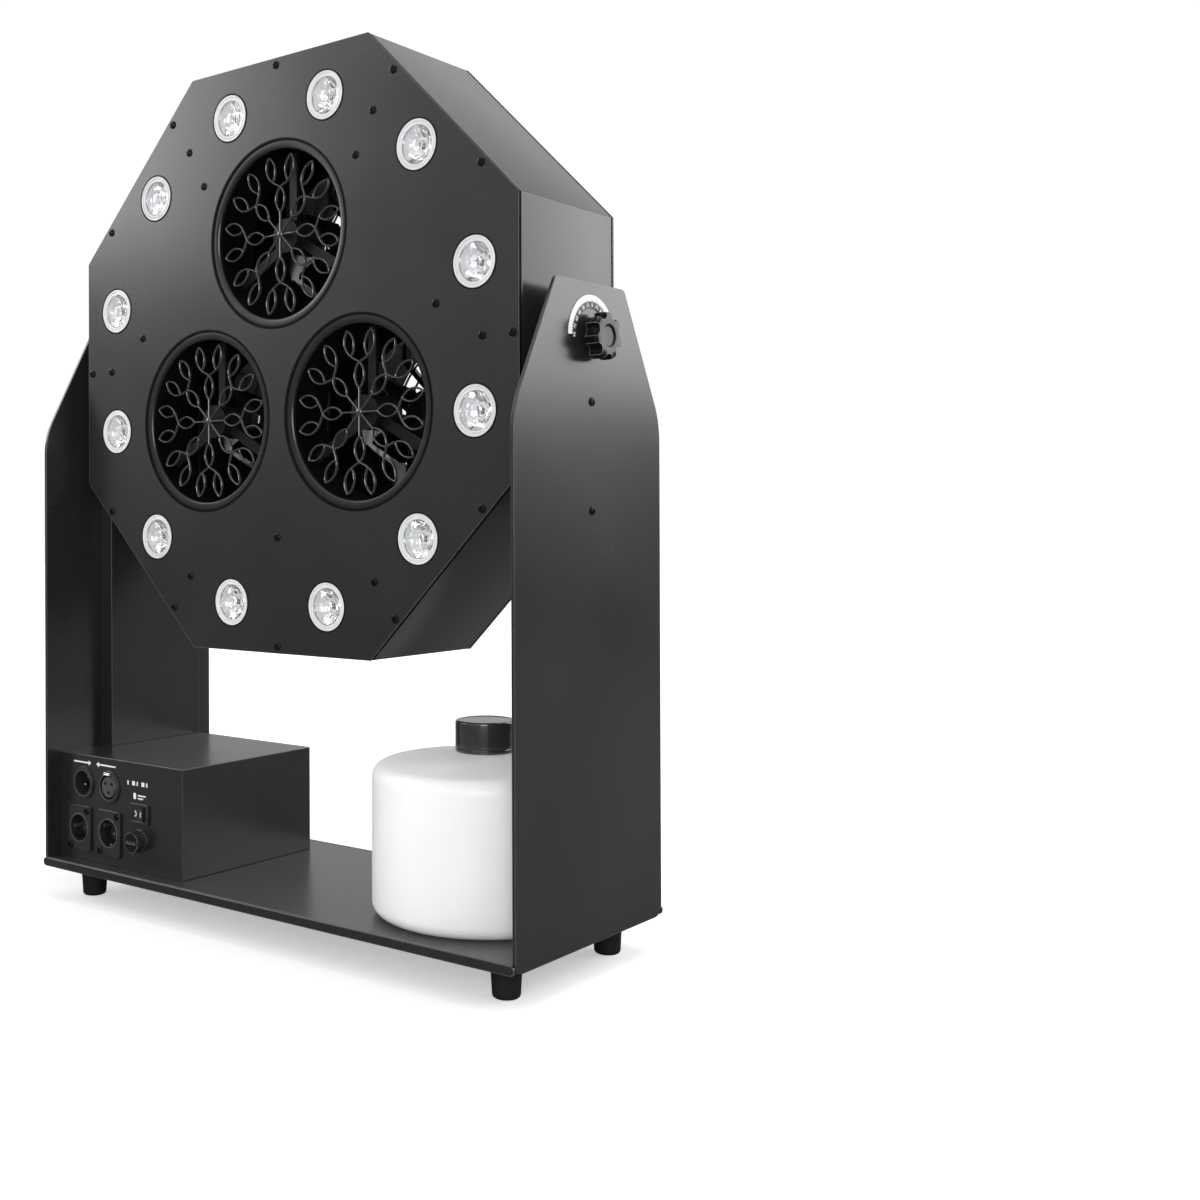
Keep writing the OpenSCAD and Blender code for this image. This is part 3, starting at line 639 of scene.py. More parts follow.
@cache
def edge_group() -> bpy.types.NodeTree:
    """Painted highlight: lighter colour along folds and edges, standing in for the light that they
    catch.

    Returns:
        The group.
    """
    nodes, given, result = start_group(
        "painted_edge_highlights",
        {"Colour": "Color", "Bright": "Color", "Reach": "Float", "Amount": "Float"},
        {"Colour": "Color"},
    )
    eased = nodes.add("Bevel", Radius=given["Reach"])
    facing = nodes.add("NewGeometry")
    along = nodes.work_out(
        "VectorMath", "DOT_PRODUCT", eased.outputs[0], facing.outputs["Normal"]
    )
    share = nodes.add("MapRange", Value=along.outputs["Value"], From_Min=0.995, From_Max=0.88)
    scaled = nodes.work_out("Math", "MULTIPLY", share.outputs[0], given["Amount"])
    mix = nodes.add("MixRGB", Fac=scaled.outputs[0], Color1=given["Colour"], Color2=given["Bright"])
    nodes.feed(result, "Colour", mix.outputs[0])
    return nodes.tree


@cache
def dust_group() -> bpy.types.NodeTree:
    """A trace of fine dust on what faces upwards.

    Returns:
        The group.
    """
    nodes, given, result = start_group(
        "settled_dust",
        {"Place": "Vector", "Colour": "Color", "Amount": "Float"},
        {"Colour": "Color"},
    )
    facing = nodes.add("NewGeometry")
    parts = nodes.add("SeparateXYZ", Vector=facing.outputs["Normal"])
    up = nodes.add("MapRange", Value=parts.outputs["Z"], From_Min=0.6, From_Max=1.0)
    patches = nodes.add("TexNoise", Vector=given["Place"], Scale=45.0, Detail=6.0)
    amount = nodes.work_out("Math", "MULTIPLY", up.outputs[0], patches.outputs[0])
    scaled = nodes.work_out("Math", "MULTIPLY", amount.outputs[0], given["Amount"])
    mix = nodes.add(
        "MixRGB", Fac=scaled.outputs[0], Color1=given["Colour"], Color2=(*DUST_COLOUR, 1)
    )
    nodes.feed(result, "Colour", mix.outputs[0])
    return nodes.tree


class Grain(Enum):
    """Kind of fine relief: stretch of the noise, fineness per metre and depth in metres."""

    ORANGE_PEEL = ((1.0, 1.0, 1.0), 520.0, 1.3e-5)
    SPARK_ERODED = ((1.0, 1.0, 1.0), 1500.0, 1.6e-5)
    POLISHED = ((1.0, 1.0, 1.0), 160.0, 0.6e-5)
    BRUSHED = ((1.0, 14.0, 14.0), 260.0, 0.9e-5)
    CAST = ((1.0, 1.0, 1.0), 900.0, 4.0e-5)
    BLOWN = ((1.0, 1.0, 0.35), 60.0, 6.0e-5)


@dataclass(frozen=True)
class Finish:
    """One surface finish: its colours, its gloss and its grain."""

    name: str
    slot: str
    dark: Colour
    light: Colour
    gloss: tuple[float, float]
    grain: Grain
    metal: float = 0.0
    coat: float = 0.0
    level: float = 0.5
    blotches: float = 9.0
    dust: float = 0.0
    # Share of painted highlight along folds and edges.
    edges: float = 0.0
    clear: float = 0.0
    bloom: float = 0.0
    # Strength of a painted glow: emission from a part that is no lamp.
    glow: float = 0.0

    @cache
    def material(self) -> bpy.types.Material:
        """Build the material once.

        Returns:
            The material.
        """
        made = bpy.data.materials.new(self.name)
        made.use_nodes = True
        nodes = Nodes(made.node_tree)
        place = nodes.add("TexCoord").outputs["Object"]
        stretch, fineness, depth = self.grain.value
        grain = nodes.group(
            grain_group(), Place=place, Stretch=stretch, Fineness=fineness, Depth=depth
        )
        drift = nodes.group(
            drift_group(),
            Place=place,
            Blotches=self.blotches,
            Speckle=grain.outputs["Speckle"],
            Dark=(*self.dark, 1),
            Light=(*self.light, 1),
            Smoothest=self.gloss[0],
            Roughest=self.gloss[1],
        )
        colour = drift.outputs["Colour"]
        # Painted highlight: lighten the colour along folds and edges.
        if self.edges:
            highlit = nodes.group(
                edge_group(),
                Colour=colour,
                Bright=(*EDGE_HIGHLIGHT_COLOUR, 1),
                Reach=EDGE_HIGHLIGHT_REACH,
                Amount=self.edges,
            )
            colour = highlit.outputs["Colour"]
        if self.dust:
            dust = nodes.group(dust_group(), Place=place, Colour=colour, Amount=self.dust)
            colour = dust.outputs["Colour"]
        shader = nodes.add(
            "BsdfPrincipled",
            Base_Color=colour,
            Roughness=drift.outputs["Roughness"],
            Normal=grain.outputs["Normal"],
            Metallic=self.metal,
            Transmission_Weight=self.clear,
            IOR=PLASTIC_IOR,
            Coat_Weight=self.coat,
            Coat_Roughness=COAT_ROUGHNESS,
            Specular_IOR_Level=self.level,
        )
        if self.bloom:
            shader.inputs["Subsurface Weight"].default_value = self.bloom
            shader.inputs["Subsurface Radius"].default_value = BLOOM_REACH
            shader.inputs["Subsurface Scale"].default_value = 1.0
        # Painted glow: emission in the finish's light colour, though the part is no lamp.
        if self.glow:
            shader.inputs["Emission Color"].default_value = (*self.light, 1)
            shader.inputs["Emission Strength"].default_value = self.glow
        output = nodes.add("OutputMaterial", Surface=shader.outputs[0])
        output.is_active_output = True
        return made


# Both powder coats carry a painted highlight along folds and edges (edges).
POWDER = Finish(
    "powder_coat", "black_powder_coat", (0.012, 0.012, 0.0145), (0.017, 0.017, 0.020),
    (0.22, 0.28), Grain.ORANGE_PEEL, dust=0.02, edges=0.7,
)
BAND = Finish(
    "band_powder_coat", "black_powder_coat", (0.012, 0.012, 0.0145), (0.017, 0.017, 0.020),
    (0.22, 0.28), Grain.ORANGE_PEEL, level=0.33, dust=0.02, edges=0.7,
)
RUBBER = Finish(
    "moulded_rubber", "rubber", (0.006, 0.006, 0.0065), (0.010, 0.010, 0.0105),
    (0.62, 0.78), Grain.SPARK_ERODED, level=0.3, blotches=60, dust=0.02,
)
SCREW = Finish(
    "black_zinc_screw", "black_zinc", (0.004, 0.004, 0.0045), (0.010, 0.010, 0.011),
    (0.16, 0.26), Grain.POLISHED, level=0.12, blotches=300,
)
STEEL = Finish(
    "turned_steel", "bright_steel", (0.46, 0.47, 0.49), (0.6, 0.61, 0.63),
    (0.22, 0.34), Grain.BRUSHED, metal=1.0,
)
BUSH = Finish(
    "bush_steel", "bush_steel", (0.4, 0.41, 0.42), (0.52, 0.53, 0.55),
    (0.26, 0.38), Grain.BRUSHED, metal=1.0,
)
PRINT = Finish(
    "white_scale", "dial_print", (0.78, 0.78, 0.77), (0.86, 0.86, 0.85),
    (0.4, 0.5), Grain.SPARK_ERODED, blotches=40,
)
INK = Finish(
    "black_scale_ink", "dial_print", (0.01, 0.01, 0.011), (0.016, 0.016, 0.017),
    (0.4, 0.5), Grain.SPARK_ERODED, blotches=40,
)
# The knob plastic carries a strong painted highlight along its edges (edges).
KNOB = Finish(
    "knob_plastic", "knob_plastic", (0.003, 0.003, 0.0035), (0.006, 0.006, 0.0065),
    (0.08, 0.16), Grain.POLISHED, edges=0.9, level=0.2, blotches=50,
)
SHELL = Finish(
    "connector_shell", "connector_plastic", (0.012, 0.012, 0.013), (0.02, 0.02, 0.022),
    (0.28, 0.42), Grain.SPARK_ERODED, blotches=80,
)
RIM = Finish(
    "connector_rim", "connector_plastic", (0.11, 0.11, 0.115), (0.15, 0.15, 0.155),
    (0.25, 0.4), Grain.POLISHED, metal=0.7, blotches=80,
)
BRASS = Finish(
    "plated_contact", "contact_brass", (0.62, 0.5, 0.27), (0.78, 0.66, 0.38),
    (0.16, 0.28), Grain.POLISHED, metal=1.0, blotches=90,
)
LATCH = Finish(
    "plated_latch", "latch_metal", (0.5, 0.5, 0.52), (0.64, 0.64, 0.66),
    (0.2, 0.3), Grain.BRUSHED, metal=1.0, blotches=90,
)
GLASS = Finish(
    "fuse_glass", "fuse_glass", (0.9, 0.93, 0.92), (0.96, 0.98, 0.97),
    (0.03, 0.06), Grain.POLISHED, clear=0.9,
)
BOARD = Finish(
    "green_board", "circuit_board", (0.012, 0.09, 0.045), (0.02, 0.13, 0.065),
    (0.3, 0.5), Grain.SPARK_ERODED, blotches=120,
)
CASE = Finish(
    "supply_case", "supply_case", (0.5, 0.51, 0.52), (0.62, 0.63, 0.64),
    (0.3, 0.42), Grain.BRUSHED, metal=1.0,
)
PUMP = Finish(
    "pump_body", "pump_body", (0.03, 0.03, 0.034), (0.05, 0.05, 0.055),
    (0.4, 0.55), Grain.SPARK_ERODED,
)
# The bottle carries a faint painted glow (glow) that brightens it.
BOTTLE = Finish(
    "blown_polythene", "bottle_white", (0.86, 0.86, 0.855), (0.92, 0.92, 0.915),
    (0.34, 0.46), Grain.BLOWN, bloom=0.35, blotches=14, glow=0.06,
)
CAP = Finish(
    "cap_black", "cap_black", (0.020, 0.020, 0.021), (0.030, 0.030, 0.032),
    (0.14, 0.24), Grain.POLISHED, blotches=60, coat=0.5,
)
LINER = Finish(
    "soft_liner", "liner", (0.6, 0.6, 0.58), (0.72, 0.72, 0.7), (0.6, 0.75), Grain.SPARK_ERODED,
)
LENS = Finish(
    "clear_lens", "lens_clear", (0.97, 0.98, 0.99), (1.0, 1.0, 1.0),
    (0.02, 0.06), Grain.POLISHED, clear=0.96,
)
# The frosted rims carry a painted glow (glow), though the lamps are not lit.
FROST = Finish(
    "frosted_lens_rim", "lens_clear", (0.66, 0.67, 0.68), (0.82, 0.83, 0.84),
    (0.12, 0.24), Grain.SPARK_ERODED, clear=0.2, glow=0.08,
)
# The reflector cups carry a painted glow (glow), though the lamps are not lit.
REFLECTOR = Finish(
    "lens_reflector", "heat_sink", (0.86, 0.87, 0.88), (0.95, 0.95, 0.96),
    (0.08, 0.2), Grain.POLISHED, metal=0.65, blotches=260, glow=0.24,
)
CHIP = Finish(
    "lamp_chip", "heat_sink", (0.004, 0.004, 0.004), (0.05, 0.048, 0.04),
    (0.1, 0.3), Grain.CAST, level=0.2, blotches=900,
)
SINK = Finish(
    "heat_sink", "heat_sink", (0.2, 0.2, 0.21), (0.32, 0.32, 0.33),
    (0.35, 0.5), Grain.CAST, metal=0.9,
)
WAND = Finish(
    "wand_gloss", "wand_black", (0.030, 0.030, 0.033), (0.045, 0.045, 0.05),
    (0.14, 0.24), Grain.POLISHED, blotches=90, coat=0.5,
)
# The bezel carries a faint painted highlight along its edges (edges).
BEZEL = Finish(
    "bezel_satin", "bezel_black", (0.006, 0.006, 0.0065), (0.009, 0.009, 0.0095),
    (0.22, 0.32), Grain.POLISHED, level=0.4, blotches=30, edges=0.25,
)
# Painted shade: a near-black with almost no sheen, laid where shade falls: down the barrels behind the
# bezels (their own black made darker), on the seam at the front panel's edge and the band's front fold,
# and on thin rings round the lenses and bezels.
PAINTED_SHADE = Finish(
    "painted_shade_black", "bezel_black", (0.0025, 0.0025, 0.003), (0.005, 0.005, 0.0055),
    (0.5, 0.6), Grain.SPARK_ERODED, level=0.05, blotches=30,
)
MOTOR = Finish(
    "motor_case", "motor_case", (0.006, 0.006, 0.0065), (0.011, 0.011, 0.012),
    (0.3, 0.45), Grain.CAST, level=0.2,
)
FAN = Finish(
    "fan_gloss", "fan_black", (0.003, 0.003, 0.0035), (0.006, 0.006, 0.0065),
    (0.10, 0.18), Grain.POLISHED, level=0.22, blotches=60,
)
HEATER = Finish(
    "heater_jacket", "heater_jacket", (0.5, 0.5, 0.51), (0.62, 0.62, 0.63),
    (0.25, 0.4), Grain.BRUSHED, metal=1.0,
)

CAD_FINISHES: dict[Finish, tuple[str, ...]] = {
    STEEL: ("foot_screws",),
    BUSH: ("left_pivot_bush", "right_pivot_bush"),
    CASE: ("power_supply",),
    BOARD: ("control_board",),
    PUMP: ("fluid_pump",),
    LINER: ("cap_liner",),
    GLASS: ("fuse",),
    SINK: ("lamp_modules",),
    MOTOR: ("top_wand_motor", "left_wand_motor", "right_wand_motor"),
    HEATER: ("fog_heater",),
    BRASS: ("fluid_manifold",),
    FAN: ("top_fan_frame", "left_fan_frame", "right_fan_frame"),
}


def dress(
    obj: bpy.types.Object, finish: Finish, body: str, replaces: Sequence[str] = (), keep: bool = False
) -> bpy.types.Object:
    """Give a piece its finish, its body and the nodes that it stands for.

    Args:
        obj: The finished piece.
        finish: Its finish.
        body: The body it moves with.
        replaces: The nodes it stands for.
        keep: Whether the piece already carries its materials.

    Returns:
        The same piece.
    """
    if not keep:
        paint(obj, finish)
    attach(obj, body)
    if replaces:
        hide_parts(*replaces)
    LOG.info("%s: %d faces, on %s", obj.name, len(obj.data.polygons), body)
    return obj


def paint(obj: bpy.types.Object, finish: Finish) -> bpy.types.Object:
    """Give one part of a piece its finish.

    Args:
        obj: The part.
        finish: Its finish.

    Returns:
        The same part.
    """
    obj.data.materials.clear()
    obj.data.materials.append(finish.material())
    return obj


def paint_faces(
    obj: bpy.types.Object, finish: Finish, wanted: Callable[[Vector, Vector], bool]
) -> None:
    """Give some faces of a painted piece a second finish.

    Args:
        obj: The piece.
        finish: The second finish.
        wanted: The test, given a face's centre and normal.
    """
    obj.data.materials.append(finish.material())
    with editing(obj):
        pick_faces(obj, wanted)
        obj.active_material_index = len(obj.data.materials) - 1
        bpy.ops.object.material_slot_assign()


# ---- The frame's places ----


class Side(Enum):
    """The two sides of the frame."""

    LEFT = -1
    RIGHT = 1

    @property
    def word(self) -> str:
        """The name used in nodes."""
        return self.name.lower()


@dataclass(frozen=True)
class Layout:
    """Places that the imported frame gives.

    Args:
        tilt: A point on the tilt axis, in the middle.
        half_head: Half the head's width across its flats.
        face_y: Front of the head.
        back_y: Back of the head.
        outlets: Middle of each outlet on the tilt axis plane, by name.
        plate_low: Lowest corner of the right side plate.
        plate_high: Highest corner of the right side plate.
        base_z: Top of the base.
    """

    tilt: Vector
    half_head: float
    face_y: float
    back_y: float
    outlets: dict[str, Vector]
    plate_low: Vector
    plate_high: Vector
    base_z: float

    @classmethod
    def read(cls, joints: Sequence[dict]) -> Layout:
        """Read the places from the frame's joints and nodes.


        Returns:
            The places.
        """
        spot = {joint["name"]: Vector(joint["pos_m"]) for joint in joints if "pos_m" in joint}
        panel_low, panel_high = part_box("front_panel")
        plate_low, plate_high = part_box("right_side_plate")
        outlets = {
            name: Vector((spot[f"{name}_wand_spin"].x, 0, spot[f"{name}_wand_spin"].z))
            for name in ("top", "left", "right")
        }
        return cls(
            tilt=spot["head_tilt"],
            half_head=panel_high.x,
            face_y=panel_low.y,
            back_y=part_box("back_panel")[1].y,
            outlets=outlets,
            plate_low=plate_low,
            plate_high=plate_high,
            base_z=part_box("base_plate")[1].z,
        )

    def on_head(self, point: Point, y: float = 0.0) -> Vector:
        """A place on the head from its (x, z) distance to the tilt axis."""
        return Vector((point[0], y, self.tilt.z + point[1]))


def middle(node: str) -> Vector:
    """Middle of a node's box."""
    low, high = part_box(node)
    return (low + high) / 2


@dataclass(frozen=True)
class PanScrew:
    """M3 pan head screw with a cross recess, its head towards -Y from the origin."""

    radius: float = 2.9 * MM
    height: float = 1.3 * MM
    shank: float = 1.45 * MM
    length: float = 4 * MM

    def build(self) -> bpy.types.Object:
        """Turn the screw and cut its recess.

        Returns:
            The screw at the origin.
        """
        r, h = self.radius, self.height
        screw = turned(
            [(0, h), (0.5 * r, 0.97 * h), (0.82 * r, 0.8 * h), (r, 0.4 * h), (r, 0),
             (self.shank, 0), (self.shank, -self.length), (0, -self.length)],
            Vector(), Across.Y, steps=20, away=-1,
        )
        slot_w, slot_l = 0.2 * r, 0.62 * r
        for w, l in ((slot_w, slot_l), (slot_l, slot_w)):
            cut(screw, box(Vector((-w, -1.5 * h, -l)), Vector((w, -0.35 * h, l))))
        return paint(smooth(screw, 30), SCREW)


# ---- Frame ----


@dataclass(frozen=True)
class SideFrame:
    """The upright frame: side plates, base, ducts, feet and their screws."""

    lay: Layout
    top_half: float = 40 * MM
    shoulder_drop: float = 50 * MM
    shoulder_r: float = 55 * MM
    corner_r: float = 8 * MM
    top_r: float = 5 * MM
    edge: float = 0.5 * MM
    duct_drops: tuple[float, float] = (41 * MM, 110.5 * MM)
    screw_hole_r: float = 1.7 * MM
    journal_hole_r: float = 6.05 * MM
    base_t: float = 2.5 * MM
    lip_t: float = 2 * MM
    duct_t: float = 1.2 * MM
    well_r: float = 5 * MM
    foot_web: float = 8 * MM
    tread_r: float = 2.5 * MM
    foot_hole_r: float = 2.7 * MM
    mains_screw: Point = (10 * MM, 14 * MM)

    def build(self) -> None:
        """Build every piece of the frame."""
        for side in Side:
            self.side_plate(side)
            self.duct(side)
        self.base()
        self.feet()
        self.screws()

    def side_plate(self, side: Side) -> None:
        """Cut a side plate, drill it and break its edges.

        Args:
            side: The side it stands on.
        """
        low, high = self.lay.plate_low, self.lay.plate_high
        shoulder = self.lay.tilt.z - self.shoulder_drop
        outline = rounded(
            [
                (low.y, low.z, self.corner_r),
                (high.y, low.z, self.corner_r),
                (high.y, shoulder, self.shoulder_r),
                (self.top_half, high.z, self.top_r),
                (-self.top_half, high.z, self.top_r),
                (low.y, shoulder, self.shoulder_r),
            ],
            12,
        )
        obj = plate(outline, side.value * low.x, side.value * high.x, Across.X)
        drills = []
        holes = [(0.0, self.journal_hole_r)] + [(drop, self.screw_hole_r) for drop in self.duct_drops]
        for drop, radius in holes:
            spot = Vector((side.value * low.x, 0, self.lay.tilt.z - drop))
            reach = Vector((20 * MM, 0, 0))
            drills.append(rod(spot - reach, spot + reach, radius, 24))
        cut(obj, join(drills, "drill"))
        soften(obj, self.edge, 3, 50)
        obj.name = f"{side.word}_plate_sheet"
        dress(obj, POWDER, "frame", [f"{side.word}_side_plate"])

    def duct(self, side: Side) -> None:
        """Fold a duct: a channel open towards its plate and at its foot.

        Args:
            side: The side it stands on.
        """
        low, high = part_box(f"{side.word}_duct")
        obj = box(low, high)
        plate_x = max(low.x, high.x, key=lambda x: x * side.value)
        with editing(obj):
            pick_faces(obj, lambda c, n: abs(c.x - plate_x) < MM or n.z < -0.5)
            bpy.ops.mesh.delete(type="FACE")
        apply_modifier(obj, "SOLIDIFY", thickness=self.duct_t, offset=-1, use_even_offset=True)
        soften(obj, 0.45 * MM, 3)
        obj.name = f"{side.word}_duct_channel"
        dress(obj, POWDER, "frame", [f"{side.word}_duct"])

    def base(self) -> None:
        """Fold the base tray and its front and back lips, and join them."""
        low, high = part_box("base_plate")
        tray_x = self.lay.plate_low.x
        front, back = self.lay.plate_low.y, self.lay.plate_high.y
        tray = box(Vector((-tray_x, front, low.z)), Vector((tray_x, back, high.z)))
        with editing(tray):
            pick_faces(tray, lambda c, n: n.z < -0.5 or abs(n.y) > 0.5)
            bpy.ops.mesh.delete(type="FACE")
        apply_modifier(tray, "SOLIDIFY", thickness=self.base_t, offset=-1, use_even_offset=True)
        soften(tray, 0.5 * MM)
        lip_r = (high.z - low.z) / 2 - 0.2 * MM
        outline = rounded(
            [(x, z, lip_r) for x, z in (
                (low.x, low.z), (high.x, low.z), (high.x, high.z), (low.x, high.z))]
        )
        lips = []
        for start in (front - self.lip_t, back):
            lip = plate(outline, start, start + self.lip_t, Across.Y)
            soften(lip, 0.6 * MM, 3)
            lips.append(lip)
        dress(join([tray, *lips], "base_tray"), POWDER, "frame", ["base_plate"])

    def feet(self) -> None:
        """Turn the four tapered rubber feet, each with a groove and a rounded tread."""
        for end in ("front", "rear"):
            for side in Side:
                node = f"{end}_{side.word}_foot"
                low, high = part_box(node)
                radius, top = (high.x - low.x) / 2, high.z - low.z
                tread = radius - 1.5 * MM
                profile = [
                    (self.well_r, 0.4 * MM), (self.well_r + 0.4 * MM, 0),
                    *[
                        (tread - self.tread_r + p[0], self.tread_r + p[1])
                        for p in (polar(self.tread_r, a) for a in range(-90, 1, 15))
                    ],
                    (radius - 0.35 * MM, top - 6 * MM), (radius - 0.9 * MM, top - 5.6 * MM),
                    (radius - 0.9 * MM, top - 4.6 * MM), (radius - 0.1 * MM, top - 4.2 * MM),
                    (radius, top), (self.foot_hole_r, top), (self.foot_hole_r, top - self.foot_web),
                    (self.well_r, top - self.foot_web),
                ]
                obj = turned(profile, Vector(((low.x + high.x) / 2, (low.y + high.y) / 2, low.z)),
                             Across.Z, 48, closed=True)
                obj.name = f"{node}_rubber"
                dress(obj, RUBBER, "frame", [node])

    def screws(self) -> None:
        """Drive the screws of the ducts and of the mains connectors."""
        places = []
        for side in Side:
            face = self.lay.plate_high.x * side.value
            turn = Euler((0, 0, side.value * math.pi / 2))
            places += spots(
                [Vector((face, 0, self.lay.tilt.z - drop)) for drop in self.duct_drops], turn
            )
        for node in ("mains_inlet", "mains_outlet"):
            centre, front = middle(node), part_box(node)[0].y
            places += spots(
                [Vector((centre.x + s * self.mains_screw[0], front, centre.z + s * self.mains_screw[1]))
                 for s in (-1, 1)]
            )
        screws = repeat(PanScrew().build(), places, "frame_pan_screws")
        dress(screws, SCREW, "frame", ["frame_screws"])


@dataclass(frozen=True)
class TiltPivot:
    """The dial, its figures, the star knob and the index mark of one side."""

    lay: Layout
    side: Side
    band_r: float = 22.6 * MM
    ring_r: float = 18.5 * MM
    figure_step: int = 15
    figure_r: float = 20.4 * MM
    figure_size: float = 3.3 * MM
    tick_l: float = 1.5 * MM
    tick_w: float = 0.42 * MM
    tick_step: int = 5
    ink_t: float = 0.06 * MM
    lobes: int = 7
    flute_depth: float = 4.0 * MM
    flute_r: float = 4.4 * MM
    neck_r: float = 8 * MM
    neck_l: float = 3.2 * MM
    neck_gap: float = 0.4 * MM
    stud_r: float = 4 * MM
    mark_r: tuple[float, float] = (32.5 * MM, 37.5 * MM)
    mark_w: float = 1.3 * MM

    def build(self) -> None:
        """Build the dial, the knob and the mark."""
        self.dial()
        self.knob()
        self.index_mark()

    def outward(self, depth: float) -> float:
        """X of a point at a distance outside the side plate."""
        return self.side.value * (self.lay.plate_high.x + depth)

    def half_ring(self, inner: float, outer: float) -> list[Point]:
        """Outline of the upper half of a ring round the tilt axis.

        Args:
            inner: Its inner radius.
            outer: Its outer radius.

        Returns:
            The outline.
        """
        arc = [polar(outer, a) for a in range(0, 181, 5)]
        arc += [polar(inner, a) for a in range(180, -1, -5)]
        return [(y, z + self.lay.tilt.z) for y, z in arc]

    def dial(self) -> None:
        """Lay the white band, the black figure ring, the ticks and the figures."""
        low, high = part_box(f"{self.side.word}_dial")
        outer = high.z - self.lay.tilt.z
        thick = high.x - low.x
        start, end = self.outward(0), self.outward(thick)
        band = plate(self.half_ring(self.band_r, outer), start, end, Across.X)
        soften(band, 0.15 * MM)
        parts = [paint(band, PRINT)]
        ring = plate(
            self.half_ring(self.ring_r, self.band_r), start, self.outward(thick - 0.05 * MM), Across.X
        )
        parts.append(paint(ring, INK))
        for angle in range(0, 181, self.tick_step):
            reach = self.tick_l * (0.6 if angle % self.figure_step else 1.0)
            tick = box(
                Vector((0, self.band_r - 0.02 * MM, -self.tick_w / 2)),
                Vector((self.ink_t, self.band_r + reach, self.tick_w / 2)),
            )
            spin = Matrix.Rotation(math.radians(angle), 4, "X")
            tick.data.transform(Matrix.Translation((self.x_on(thick), 0, self.lay.tilt.z)) @ spin)
            parts.append(paint(tick, INK))
        for angle in range(0, 181, self.figure_step):
            parts.append(self.figure(str(abs(90 - angle)), angle, thick))
        dress(join(parts, f"{self.side.word}_tilt_scale"), PRINT, "frame",
              [f"{self.side.word}_dial"], keep=True)

    def x_on(self, depth: float) -> float:
        """Lowest X of a thin layer laid on the plate at a depth."""
        return self.outward(depth) - (self.ink_t if self.side is Side.LEFT else 0)

    def figure(self, text: str, angle: float, depth: float) -> bpy.types.Object:
        """Raise one figure of the scale, upright towards the rim.

        Args:
            text: The number.
            angle: Its angle round the scale, in degrees.
            depth: How far outside the side plate it stands.

        Returns:
            The figure, painted.
        """
        bpy.ops.object.text_add()
        obj = bpy.context.object
        obj.data.body = text
        obj.data.size = self.figure_size
        obj.data.align_x = "CENTER"
        obj.data.align_y = "CENTER"
        obj.data.offset = 0.03 * MM
        obj.data.extrude = self.ink_t / 2
        bpy.ops.object.convert(target="MESH")
        face_out = Euler((math.pi / 2, 0, self.side.value * math.pi / 2)).to_matrix().to_4x4()
        lean = Matrix.Rotation(math.radians(angle - 90), 4, "X")
        y, z = polar(self.figure_r, angle)
        spot = Vector((self.outward(depth), y, self.lay.tilt.z + z))
        obj.data.transform(Matrix.Translation(spot) @ lean @ face_out)
        return paint(obj, PRINT)

    def knob(self) -> None:
        """Mould the star knob with its neck and stud."""
        low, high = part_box(f"{self.side.word}_knob")
        tip = max(abs(low.x), abs(high.x)) - self.lay.plate_high.x
        neck_start = self.neck_gap
        head_start = neck_start + self.neck_l
        radius, long = (high.z - low.z) / 2, tip - head_start
        axis = Vector((0, 0, self.lay.tilt.z))
        profile = rounded(
            [(0, long - 1.2 * MM, 0), (6.2 * MM, long - 1.2 * MM, 0.6 * MM), (7.4 * MM, long, 0.8 * MM),
             (radius, long, 2.4 * MM), (radius, 0, 1.4 * MM), (0, 0, 0)], 5)
        head = turned(profile, axis + Vector((self.outward(head_start), 0, 0)), Across.X, 98,
                      away=self.side.value)
        flutes = []
        for k in range(self.lobes):
            y, z = polar(radius + self.flute_r - self.flute_depth, 360 * (k + 0.5) / self.lobes + 90)
            flutes.append(rod(axis + Vector((self.outward(head_start - MM), y, z)),
                              axis + Vector((self.outward(tip + MM), y, z)), self.flute_r, 28))
        cut(head, join(flutes, "flutes"))
        soften(head, 0.7 * MM, 3, 40)
        neck = rod(axis + Vector((self.outward(neck_start), 0, 0)),
                   axis + Vector((self.outward(head_start + 0.5 * MM), 0, 0)), self.neck_r, 48)
        soften(neck, 0.4 * MM)
        stud = rod(axis + Vector((self.outward(neck_start - 20 * MM), 0, 0)),
                   axis + Vector((self.outward(neck_start + 1 * MM), 0, 0)), self.stud_r, 32)
        paint(stud, STEEL)
        for part in (head, neck):
            paint(part, KNOB)
        dress(join([head, neck, stud], f"{self.side.word}_star_knob"), KNOB,
              f"{self.side.word}_knob", [f"{self.side.word}_knob"], keep=True)

    def index_mark(self) -> None:
        """Print the white index bar on the side of the head, forward of the axis."""
        face = self.side.value * self.lay.half_head
        far, near = -self.mark_r[1], -self.mark_r[0]
        outline = [(y, z + self.lay.tilt.z) for y, z in rounded(
            [(far, -self.mark_w / 2, 0.3 * MM), (near, -self.mark_w / 2, 0.3 * MM),
             (near, self.mark_w / 2, 0.3 * MM), (far, self.mark_w / 2, 0.3 * MM)], 3)]
        obj = plate(outline, face, face + self.side.value * self.ink_t, Across.X)
        obj.name = f"{self.side.word}_index_mark"
        dress(obj, PRINT, "head")


# ---- Head ----


